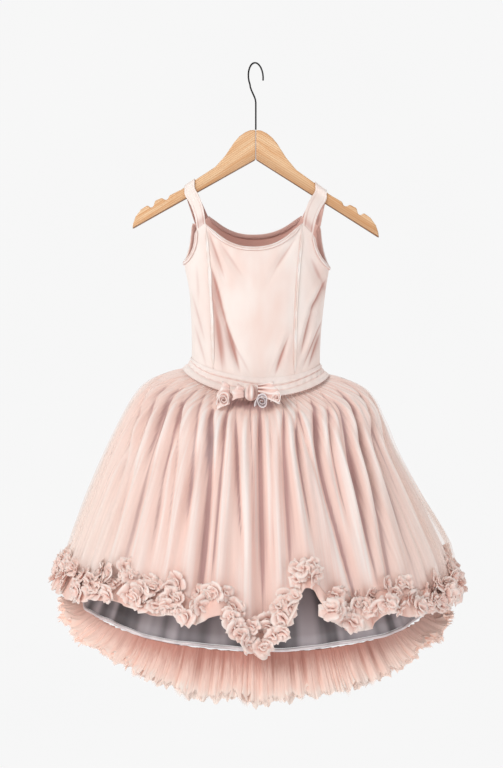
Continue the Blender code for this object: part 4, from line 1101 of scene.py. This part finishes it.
def swept_points(angle, z, profile, side):
    """A section carried along a line on the bodice, across the line."""
    rate = arc_rate(angle, z)
    run = np.stack([np.gradient(angle) * rate, np.gradient(z)], axis=-1)
    run = unit(run)
    across = np.stack([-run[:, 1], run[:, 0]], axis=-1) * side
    off, out = np.array(profile).T
    count = len(z)
    ends = np.minimum(np.arange(count), np.arange(count)[::-1]) / 8.0
    full = np.clip(ends, 0.15, 1.0)[:, None] ** 0.6
    off, out = off * full, out * full
    at_angle = angle[:, None] + across[:, :1] * off / rate[:, None]
    at_z = z[:, None] + across[:, 1:] * off
    return bodice(at_angle, at_z, out)[0]


def make_bindings():
    """Bindings of the neck and armholes, and the piping of the princess seams."""
    tape, finish = tape_profile(), binding_finish()
    x = np.linspace(PRINCESS["left"][-1].x + 2.5, PRINCESS["right"][-1].x - 2.5, 110)
    z = neckline(x, NECK_FRONT)
    add_tape("neck_binding_front", front_angle(x, z), z, tape, 1, finish)
    x, z = back_top(np.linspace(0.87, 0.13, 120))
    add_tape("neck_binding_back", back_angle(x, z), z, tape, 1, finish)
    for side, sign in SIDES:
        front_z = np.linspace(FRONT_ARMHOLE[side][-1].z, FRONT_ARMHOLE[side][0].z, 60)
        back_z = np.linspace(BACK_ARMHOLE[side][0].z, BACK_ARMHOLE[side][-1].z, 60)[1:]
        front = side_edge_angle(FRONT_ARMHOLE[side], front_z, sign, False)
        back = side_edge_angle(BACK_ARMHOLE[side], back_z, sign, True)
        front[-1] = sign * np.pi / 2.0
        path_angle, path_z = np.concatenate([front, back]), np.concatenate([front_z, back_z])
        add_tape("armhole_binding_" + side, path_angle, path_z, tape, sign, finish)
        seam = PRINCESS[side]
        top = float(neckline(seam[-1].x, NECK_FRONT)) - PIPING_DROP
        bottom = float(waist_z(front_angle(np.array(seam[0].x), np.array(WAIST_Z)))) + PIPING_RISE
        z = np.linspace(top, bottom, 120)
        add_tape("piping_" + side, front_angle(seam_x(side, z, 0), z), z, cord_profile(), 1, finish)


def add_tape(name, angle, z, profile, side, finish):
    """One strip of tape along a line on the bodice."""
    points = swept_points(angle, z, profile, side)
    piece = add_sheet(name + "_tape", points, [finish], closed=True, caps=True)
    finish_piece(piece, [name])


def sash_points(columns, rows):
    """The ribbon round the waist with its lengthwise folds, and their painted shade and highlights."""
    angle, share = ring_grid(columns, rows)
    front = np.maximum(0.0, np.cos(angle))
    high, low = waist_z(angle) + 13.0 + 6.0 * front, waist_z(angle) - 2.5 - 4.0 * front
    push = smooth_line([0.0, 0.1, 0.25, 0.5, 0.75, 1.0], [0.9, 1.3, 2.4, 4.4, 8.2, 13.4], share)
    drift = 0.07 * np.sin(2.0 * angle + 0.7) + 0.05 * np.sin(5.0 * angle)
    first, second = share - 0.34 - drift, share - 0.66 - 0.6 * drift
    groove = 1.6 * bell(first, 0.0, 0.05) + 1.3 * bell(second, 0.0, 0.055)
    ridge = 0.9 * bell(first, -0.13, 0.08) + 0.8 * bell(second, 0.13, 0.08)
    pull = 0.5 * np.sin(46.0 * angle + 3.0 * np.sin(3.0 * angle) + 4.0 * share) * np.sin(np.pi * share)
    # Painted shade in the grooves and along both edges, and painted highlights on the ridges.
    shade = 0.55 * groove / 1.6 - 0.25 * ridge - 0.1 * pull
    shade = shade + 0.35 * bell(share, 1.0, 0.06) + 0.2 * bell(share, 0.0, 0.05)
    points = ring_point(angle, WAIST_HALF_WIDTH, mix(high, low, share), push - groove + ridge + pull)
    return points, shade


def make_sash(cloth):
    """The satin ribbon round the waist."""
    points, shade = sash_points(420, 40)
    finish = satin_finish("sash_satin", "fdf3ee", "f5e0d8", "d79f93", 2000.0, 0.3)
    piece = add_sheet("sash_ribbon", points, [finish], closed=True, shade=shade, thick=cloth)
    finish_piece(piece, ["sash"])


BowLoop = namedtuple("BowLoop", "name root_x tip_x z near_tall far_tall lift bulge pleats")
BOW_LOOPS = [
    BowLoop("bow_loop_left", -35.6, -54.5, -453.0, 26.0, 38.0, 0.0, 6.0, 3.0),
    BowLoop("bow_loop_inner", -16.6, -34.0, -449.0, 14.0, 22.0, 0.0, 5.5, 2.0),
    BowLoop("bow_loop_right", 2.6, 33.5, -447.0, 15.0, 31.0, -3.0, 6.0, 3.0),
]
BOW_BACK_Y = -76.0
Rosette = namedtuple("Rosette", "name x y z radius slot")
ROSETTES = [
    Rosette("bow_rosette_left", -44.0, -85.7, -459.0, 11.4, "bow"),
    Rosette("bow_rosette_centre", 8.0, -84.2, -461.5, 12.0, "spiral"),
    Rosette("bow_rosette_right", 28.0, -84.4, -456.5, 9.4, "bow"),
]
SPIRAL_TURNS = 2.6
SPIRAL_COLUMNS = 150
SPIRAL_ROWS = 9
ROSETTE_CLOTH = 0.6
KNOT_CENTRE = np.array((-7.0, -72.4, -451.0))
KNOT_RADII = np.array((10.0, 10.5, 11.5))


def loop_points(loop, columns, rows):
    """A ribbon loop that comes out from the knot and folds back, with pleats at its root."""
    across, down = grid_of(columns, rows)
    turn = np.pi * across
    reach = np.sin(turn) ** 0.8
    opened = 1.0 + np.cos(turn)
    y = BOW_BACK_Y - loop.bulge * opened * mix(0.35, 1.0, np.sin(turn)) - 1.5 * opened
    level = 0.5 - down
    fan = TURN * loop.pleats * (level * (1.0 + 0.35 * level) + 0.06 * across) + loop.root_x
    pleat = np.sin(fan) * (1.0 - 0.45 * reach) * np.minimum(1.0, opened)
    tall = mix(loop.near_tall, loop.far_tall, reach ** 1.5) * (1.0 + 0.08 * np.sin(3.0 * np.pi * across))
    edge = 1.6 * np.sin(3.5 * np.pi * down + loop.root_x) - 7.0 * level ** 2
    side = np.sign(loop.tip_x - loop.root_x)
    x = mix(loop.root_x, loop.tip_x, reach) + side * (edge * reach ** 2 - 8.0 * (1.0 - down) ** 1.5 * reach)
    z = loop.z + level * tall + loop.lift * reach + 1.2 * np.sin(4.0 * np.pi * across + 6.0 * down) * reach
    # Painted shade in the pleats and towards the knot.
    shade = 0.26 - 0.5 * pleat * (1.0 - 0.35 * reach) + 0.45 * (1.0 - reach) ** 1.5
    return np.stack([x, y - 2.0 * pleat, z], axis=-1), shade


def spiral_points(centre, right, up, outward, radius):
    """A ribbon rolled into a rose: it winds out from the middle and its edge turns over."""
    along, down = grid_of(SPIRAL_COLUMNS, SPIRAL_ROWS)
    turn = TURN * SPIRAL_TURNS * along
    high = (1.0 - down) * 0.5 * radius * (1.0 - 0.35 * along)
    reach = radius * (0.12 + 0.88 * along) * (0.82 + 0.18 * np.sin(2.3 * turn + 1.0) * along)
    reach = reach * (0.72 + 0.38 * (1.0 - down) ** 1.5)
    spot = (right * np.cos(turn)[..., None] + up * np.sin(turn)[..., None]) * reach[..., None]
    # Painted shade deep inside the roll, lighter at its turned edge.
    shade = mix(0.1, 1.0, (1.0 - down) ** 1.3) * mix(0.75, 1.0, along)
    return centre + spot + outward * high[..., None], shade


def make_bow(cloth):
    """Loops, knot and rolled rosettes of the bow."""
    finish = chiffon_finish("bow_ribbon", "fff7f3", "f6d8cf", "a26e64")
    grey = chiffon_finish("spiral_ribbon", "fbf5f6", "d3c5c8", "5f4c52")
    for loop in BOW_LOOPS:
        points, shade = loop_points(loop, 64, 28)
        points = points[:, ::-1] if loop.tip_x < loop.root_x else points
        piece = add_sheet(loop.name + "_ribbon", points, [finish], shade=1.0 - 0.9 * shade, thick=cloth)
        finish_piece(piece, [loop.name])
        abs(loop.tip_x - loop.root_x) * 0.0022
        loop.far_tall * MM
    right, up, outward = np.array((1.0, 0.0, 0.0)), np.array((0.0, 0.0, 1.0)), np.array((0.0, -1.0, 0.0))
    for rosette in ROSETTES:
        centre = np.array((rosette.x, rosette.y, rosette.z))
        points, shade = spiral_points(centre, right, up, outward, rosette.radius)
        piece = add_sheet(rosette.name + "_roll", points, [grey if rosette.slot == "spiral" else finish],
                          shade=shade, thick=ROSETTE_CLOTH)
        finish_piece(piece, [rosette.name])
        rosette.radius * 0.0034
    polar, around = np.linspace(0.0, np.pi, 26)[:, None], np.linspace(0.0, TURN, 64, endpoint=False)[None, :]
    lumps = np.sin(5.0 * around + 0.9 * np.sin(2.0 * around) + 0.6)
    pleat = 1.0 + 0.08 * lumps * np.sin(polar)
    points = np.stack([np.sin(polar) * np.sin(around) * pleat, -np.sin(polar) * np.cos(around) * pleat,
                       np.cos(polar) + 0.0 * around], axis=-1) * KNOT_RADII + KNOT_CENTRE
    # Painted light on the knot's lumps and painted shade between them.
    shade = 0.6 + 0.36 * lumps * np.sin(polar)
    piece = add_sheet("bow_knot_ribbon", points, [finish], closed=True, shade=shade)
    finish_piece(piece, ["bow_knot"])


def make_overskirt(columns, rows, cloth):
    """The folded tulle skirt and its sheer outer layer."""
    angle, share = ring_grid(columns, rows)
    share = share ** 1.15
    points, height, line = overskirt_base(angle, share)
    fold = flare_at(OVERSKIRT, share).fold
    # Painted shadow on the skirt just below the bow.
    shadow_under_bow = np.exp(-((points[..., 0] + 9.0) / 42.0) ** 4 - ((share - 0.28) / 0.1) ** 2) * (np.cos(angle) > 0.0)
    # Painted shade and highlights from the folds' height and lines, with less contrast on the left, painted shade
    # just above the hem and painted highlights on the left's ridges.
    depth = 0.3 - 0.14 * np.maximum(0.0, -np.sin(angle)) ** 1.5
    shade = 0.66 + depth * (np.clip(height / np.maximum(fold, 3.0), -1.5, 1.2) - 1.3 * line) - 0.7 * shadow_under_bow
    shade = shade - 0.12 * bell(share, 1.0, 0.06)
    shade = shade + 0.3 * np.maximum(0.0, -line) * np.maximum(0.0, -np.sin(angle))
    piece = add_sheet("overskirt_tulle", points, [tulle_finish()], closed=True, shade=shade, thick=cloth)
    finish_piece(piece, ["overskirt"])
    angle, share = ring_grid(360, 32, 0.12, 0.99)
    billow = 9.0 * bell(share, 0.93, 0.06) * np.maximum(0.0, np.sin(angle)) ** 4
    spread = 1.0 + 5.0 * share * np.sin(np.pi * share * 0.62) + billow
    points = overskirt_base(angle, share, spread)[0]
    veil = add_sheet("overskirt_veil", points, [veil_finish()], closed=True)
    finish_piece(veil, [])


def curl_patches(seat, right, up, outward, radius, random):
    """A small crumpled curl of chiffon: uneven petals in two rings, cupped and turned over at the rim."""
    patches, shades = [], []
    u, v = np.meshgrid(np.linspace(-1.0, 1.0, CURL_GRID), np.linspace(1.0, 0.0, CURL_GRID))
    rings = [(2, 0.06, 0.7, 0.55, 0.3), (5, 0.24, 0.8, 0.66, 1.0)]
    for count, start, long, wide, tilt in rings:
        for index in range(count):
            turn = TURN * (index + tilt) / count + random.uniform(-0.5, 0.5)
            lean, size = tilt + random.uniform(-0.3, 0.3), random.uniform(0.75, 1.25)
            shift = random.uniform(0.0, TURN)
            crumple = 0.1 * np.sin(3.6 * u + shift) * v + 0.06 * np.sin(7.0 * u + 3.0 * v + 2.0 * shift) * v
            width = radius * wide * size * (0.4 + 0.6 * np.sin(np.pi * 0.6 * v))
            reach = radius * (start + long * size * np.sin(lean) * v + 0.22 * v ** 3 - 0.2 * u ** 2 * v + crumple)
            high = radius * (0.02 + long * size * np.cos(lean) * (v - 0.45 * v ** 3) + 0.16 * u ** 2 * v)
            high = high + radius * 0.8 * crumple
            radial = right * math.cos(turn) + up * math.sin(turn)
            side = up * math.cos(turn) - right * math.sin(turn)
            patches.append(seat + radial * reach[..., None] + side * (u * width)[..., None]
                           + outward * high[..., None])
            tone = random.uniform(-0.1, 0.1)
            # Painted shade at each petal's root and in its crumples, lighter at its rim; tone is a random
            # difference between petals.
            shades.append(np.clip(0.28 + tone + 0.62 * v ** 1.2 + 0.1 * u ** 2 * v - 1.2 * crumple, 0.0, 1.0))
    return patches, shades


def smooth_hem(points):
    """A line along the hem without its small folds."""
    width = HEM_SMOOTHING
    padded = np.concatenate([points[-width - 1:-1], points, points[1:width + 1]])
    kernel = np.ones(2 * width + 1) / (2 * width + 1)
    return np.stack([np.convolve(padded[:, axis], kernel, "valid") for axis in range(3)], axis=-1)


def rose_frame(angle):
    """Directions of a flower at an angle: to its right, up and outward."""
    outward = unit(np.array((math.sin(angle) * 0.62, -math.cos(angle), 0.16)))
    right = unit(np.cross((0.0, 0.0, 1.0), outward))
    return right, np.cross(outward, right), outward


def make_hem_trim(cloth):
    """The ruffle along the hem and the fabric flowers sewn on it."""
    angle, share = ring_grid(960, 12)
    wave = ruffle_wave(angle)
    finish = chiffon_finish()
    # Painted shade in the ruffle's waves and towards its sewn top.
    piece = add_sheet("hem_ruffle_chiffon", ruffle(angle, share, 0.0 * angle), [finish], closed=True,
                      shade=0.5 + 0.3 * wave * share + 0.25 * share, thick=cloth)
    finish_piece(piece, ["hem_ruffle"])
    random = np.random.default_rng(CURL_SEED)
    patches, shades = [], []
    line = np.linspace(0.0, TURN, 1441)
    hem = overskirt_base(line, np.ones_like(line))[0]
    length = np.concatenate([[0.0], np.cumsum(np.linalg.norm(np.diff(smooth_hem(hem), axis=0), axis=1))])
    for curl in range(CURLS):
        turn = float(np.interp(length[-1] * (curl + random.uniform(0.1, 0.9)) / CURLS, length, line))
        right, up, outward = rose_frame(turn)
        lift, size = random.uniform(-0.5, 0.85), random.uniform(8.5, 14.0)
        seat = ruffle(np.array([[turn]]), np.array([[lift]]), np.array([[2.5]]))[0, 0]
        outward = unit(outward + right * random.normal(0.0, 0.45) + up * random.normal(0.0, 0.4))
        right = unit(np.cross(up, outward))
        found = curl_patches(seat, right, np.cross(outward, right), outward, size, random)
        patches += found[0]
        shades += found[1]
    points, shade = np.concatenate(patches, axis=1), np.concatenate(shades, axis=1)
    flowers = add_sheet("hem_flowers", points, [chiffon_finish("petals", "fff0e9", "f9dad0", "e6ab9e")],
                        shade=shade, cuts=CURL_GRID, thick=PETAL_CLOTH)
    finish_piece(flowers, ["hem_rose_%02d" % (index + 1) for index in range(ROSES)])


def make_lining(cloth):
    """The grey satin skirt inside and the cord round its edge."""
    angle, share = ring_grid(320, 36)
    points, wave = lining_point(angle, share)
    piece = add_sheet("lining_satin", points, [grey_satin_finish()], closed=True, shade=0.5 + 0.4 * wave,
                      thick=cloth)
    finish_piece(piece, ["lining_skirt"])
    edge = points[-1]
    out = unit(edge * np.array((1.0, 1.0, 0.0)))
    turn = np.linspace(0.0, TURN, 13)[:, None, None]
    up = np.array((0.0, 0.0, 1.0))
    tube = edge - up * RIM_BELOW + (out * np.sin(turn) + up * np.cos(turn)) * RIM_RADIUS
    rim = add_sheet("lining_rim_cord", tube, [rim_finish()], closed=True)
    finish_piece(rim, ["lining_rim"])


def make_frill(layers, columns):
    """The gathered net frill below the rim, in layers with feathery edges."""
    random = np.random.default_rng(FRILL_SEED)
    for layer in range(layers):
        angle, share = ring_grid(columns, 12)
        section = flare_at(FRILL, share)
        front = np.cos(angle) ** 2
        clump = (3.4 * np.sin(37.0 * angle + 1.3 * np.sin(5.0 * angle) + 1.7 * layer)
                 + 2.4 * np.sin(61.0 * angle + 2.0 * np.sin(7.0 * angle) + 2.9 * layer)
                 + 1.8 * np.sin(117.0 * angle + 2.0 * np.sin(11.0 * angle) + 0.8 * layer))
        noise = np.convolve(random.normal(0.0, 1.0, columns + 2), (0.5, 1.0, 0.5), "valid")
        scallop = (4.2 * np.sin(12.0 * angle + 1.6 * np.sin(5.0 * angle) + 0.5 * layer)
                   + 2.6 * np.sin(23.0 * angle + 1.2 * np.sin(9.0 * angle) + 1.1 * layer))
        ragged = 0.9 * clump + 1.5 * noise + scallop + 2.5 * layer - 8.5
        fall = section.fall + section.front_fall * front + RIM_DROP + ragged * share ** 2
        uneven = 1.6 * np.sin(13.0 * angle + 0.7 * layer) + 0.9 * np.sin(29.0 * angle)
        pleats = np.sin(92.0 * angle + 1.1 * layer + uneven) * (1.0 + 0.3 * np.sin(19.0 * angle + layer))
        fine = np.sin((311.0 + 40.0 * layer) * angle + 2.0 * np.sin(23.0 * angle))
        wave = section.fold * 0.8 * pleats + 0.9 * fine * (0.4 + share)
        push = LINING_PUSH + 1.0 + wave + (layer - 1.0) * (0.8 + 2.4 * share)
        points = ring_point(angle, section.half_width, waist_z(angle) - fall, push)
        finish = net_finish("net_%d" % (layer + 1), 0.07 * layer, layer == layers - 1)
        # Painted shade in the pleats.
        piece = add_sheet("net_frill_layer_%d" % (layer + 1), points, [finish],
                          closed=True, shade=0.5 + 0.35 * pleats + 0.15 * fine)
        finish_piece(piece, ["net_frill"])


CAMERA_PLACE = (-0.006, -1.9, -0.247)
CAMERA_PITCH = math.atan2(0.2, 1.9)
CAMERA_LENS = 62.94
SENSOR_WIDTH = 36.0
Lamp = namedtuple("Lamp", "name place size power tint")
LAMPS = [
    Lamp("key", (-1.3, -1.7, 0.9), 1.3, 28.5, (1.0, 0.985, 0.965)),
    Lamp("low", (-1.5, -1.2, -1.1), 1.2, 4.5, (1.0, 0.97, 0.955)),
    Lamp("fill", (1.5, -1.5, -0.8), 2.0, 12.0, (0.99, 0.985, 1.0)),
    Lamp("rim", (0.5, 1.2, 0.8), 1.2, 5.0, (1.0, 1.0, 1.0)),
]
LAMP_TARGET = (0.0, 0.0, -0.5)
WORLD_TINT = (1.0, 0.985, 0.975, 1.0)
WORLD_STRENGTH = 0.4
# The paper's section as y and z, in metres: a floor that runs up into a wall
PAPER_LINE = [(-3.2, -1.4), (0.0, -1.4), (1.2, -1.4), (1.9, -1.32), (2.3, -1.05), (2.5, -0.6), (2.55, 0.4),
              (2.55, 3.0)]
PAPER_HALF_WIDTH = 5.0


def make_stage():
    """Camera, soft studio light, and a pale floor that runs up into the wall."""
    deselect_all()
    bpy.ops.object.camera_add(location=CAMERA_PLACE, rotation=(math.pi / 2.0 - CAMERA_PITCH, 0.0, 0.0))
    camera = bpy.context.active_object
    camera.name = "camera"
    camera.data.lens = CAMERA_LENS
    camera.data.sensor_width = SENSOR_WIDTH
    bpy.context.scene.camera = camera
    for row in LAMPS:
        deselect_all()
        bpy.ops.object.light_add(type="AREA", location=row.place)
        lamp = bpy.context.active_object
        lamp.name = row.name
        aim = np.array(LAMP_TARGET) - np.array(row.place)
        lamp.rotation_euler = (math.atan2(math.hypot(aim[0], aim[1]), -aim[2]), 0.0, math.atan2(-aim[0], aim[1]))
        lamp.data.size = row.size
        lamp.data.energy = row.power
        lamp.data.color = row.tint
    line = np.array(PAPER_LINE)
    across, y = np.meshgrid(np.linspace(-PAPER_HALF_WIDTH, PAPER_HALF_WIDTH, 12), line[:, 0])
    points = np.stack([across, y, np.broadcast_to(line[:, 1:], y.shape)], axis=-1) / MM
    paper = add_sheet("backdrop", points[::-1], [backdrop_finish()])
    world = bpy.context.scene.world or bpy.data.worlds.new("studio")
    bpy.context.scene.world = world
    world.use_nodes = True
    light = world.node_tree.nodes["Background"]
    light.inputs["Color"].default_value = WORLD_TINT
    light.inputs["Strength"].default_value = WORLD_STRENGTH
    bpy.context.scene.view_settings.view_transform = "Standard"


# The add-on


class DressSettings(bpy.types.PropertyGroup):
    """Sizes of the dress's cloth."""

    bodice_cloth: bpy.props.FloatProperty(
        name="Bodice cloth", description="Thickness of the bodice's satin, in millimetres", default=1.4, min=0.5)
    tulle: bpy.props.FloatProperty(
        name="Tulle", description="Thickness of the skirt's layered tulle, in millimetres", default=1.0, min=0.3)
    ribbon: bpy.props.FloatProperty(
        name="Ribbon", description="Thickness of the bow's ribbon, in millimetres", default=0.9, min=0.3)
    skirt_columns: bpy.props.IntProperty(
        name="Skirt columns", description="Points round the skirt", default=720, min=160)
    frill_layers: bpy.props.IntProperty(
        name="Frill layers", description="Layers of net in the frill", default=3, min=1, max=4)


class DRESS_OT_hanger(bpy.types.Operator):
    """Finish the wooden arms and the wire hook of the hanger"""

    bl_idname = "dress.hanger"
    bl_label = "Hanger"

    def execute(self, context):
        wood, wire = wood_finish(), wire_finish()
        for name, finish in (("hanger_arm_left", wood), ("hanger_arm_right", wood), ("hanger_hook", wire)):
            for slot in frame["nodes"][name].material_slots:
                slot.material = finish
        return {"FINISHED"}


class DRESS_OT_bodice(bpy.types.Operator):
    """Build the bodice's panels and straps"""

    bl_idname = "dress.bodice"
    bl_label = "Bodice and straps"

    def execute(self, context):
        cloth = context.scene.dress.bodice_cloth
        # The second finish is a darker copy of the satin for the inside: painted shade.
        finishes = [satin_finish("satin", "fdf2ec", "f7dcd2", "c58f84"),
                    satin_finish("satin_inside", "ecc5ba", "dfb0a4", "a4746a")]
        make_panel("front_centre", front_centre_places(110, 140), finishes, cloth)
        for side in ("left", "right"):
            places = front_side_places(side, 50, 130)
            make_panel("front_side_" + side, places, finishes, cloth)
        make_panel("back", back_places(120), finishes, cloth)
        for side in ("left", "right"):
            points, shade = strap_points(side, 18, 130)
            piece = add_sheet("strap_" + side + "_cloth", points, finishes, shade=shade, thick=STRAP_CLOTH)
            finish_piece(piece, ["strap_" + side])
        return {"FINISHED"}


class DRESS_OT_bindings(bpy.types.Operator):
    """Build the neck and armhole bindings and the piping"""

    bl_idname = "dress.bindings"
    bl_label = "Bindings and piping"

    def execute(self, context):
        make_bindings()
        return {"FINISHED"}


class DRESS_OT_sash(bpy.types.Operator):
    """Build the ribbon round the waist and its bow"""

    bl_idname = "dress.sash"
    bl_label = "Sash and bow"

    def execute(self, context):
        make_sash(context.scene.dress.ribbon)
        make_bow(context.scene.dress.ribbon)
        return {"FINISHED"}


class DRESS_OT_overskirt(bpy.types.Operator):
    """Build the folded tulle skirt"""

    bl_idname = "dress.overskirt"
    bl_label = "Tulle skirt"

    def execute(self, context):
        settings = context.scene.dress
        make_overskirt(settings.skirt_columns, SKIRT_ROWS, settings.tulle)
        return {"FINISHED"}


class DRESS_OT_hem_trim(bpy.types.Operator):
    """Build the hem's ruffle and fabric flowers"""

    bl_idname = "dress.hem_trim"
    bl_label = "Hem ruffle and flowers"

    def execute(self, context):
        make_hem_trim(RUFFLE_CLOTH)
        return {"FINISHED"}


class DRESS_OT_lining(bpy.types.Operator):
    """Build the grey lining, its cord and the net frill"""

    bl_idname = "dress.lining"
    bl_label = "Lining and frill"

    def execute(self, context):
        settings = context.scene.dress
        make_lining(settings.tulle)
        make_frill(settings.frill_layers, FRILL_COLUMNS)
        return {"FINISHED"}


class DRESS_OT_stage(bpy.types.Operator):
    """Set the camera, the light and the pale floor"""

    bl_idname = "dress.stage"
    bl_label = "Studio"

    def execute(self, context):
        make_stage()
        return {"FINISHED"}


OPERATORS = [DRESS_OT_hanger, DRESS_OT_bodice, DRESS_OT_bindings, DRESS_OT_sash, DRESS_OT_overskirt,
             DRESS_OT_hem_trim, DRESS_OT_lining, DRESS_OT_stage]


class DRESS_PT_panel(bpy.types.Panel):
    """Lists the dress's pieces"""

    bl_label = "Dress"
    bl_idname = "DRESS_PT_panel"
    bl_space_type = "VIEW_3D"
    bl_region_type = "UI"
    bl_category = "Dress"

    def draw(self, context):
        for name in DressSettings.__annotations__:
            self.layout.prop(context.scene.dress, name)
        for operator in OPERATORS:
            self.layout.operator(operator.bl_idname)


CLASSES = [DressSettings, *OPERATORS, DRESS_PT_panel]


def register():
    for item in CLASSES:
        bpy.utils.register_class(item)
    bpy.types.Scene.dress = bpy.props.PointerProperty(type=DressSettings)


def unregister():
    del bpy.types.Scene.dress
    for item in reversed(CLASSES):
        bpy.utils.unregister_class(item)


def main():
    """Build every piece in order."""
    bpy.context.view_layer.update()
    register()
    bpy.ops.dress.stage()
    bpy.ops.dress.hanger()
    bpy.ops.dress.bodice()
    bpy.ops.dress.bindings()
    bpy.ops.dress.sash()
    bpy.ops.dress.overskirt()
    bpy.ops.dress.hem_trim()
    bpy.ops.dress.lining()


if __name__ == "__main__":
    main()
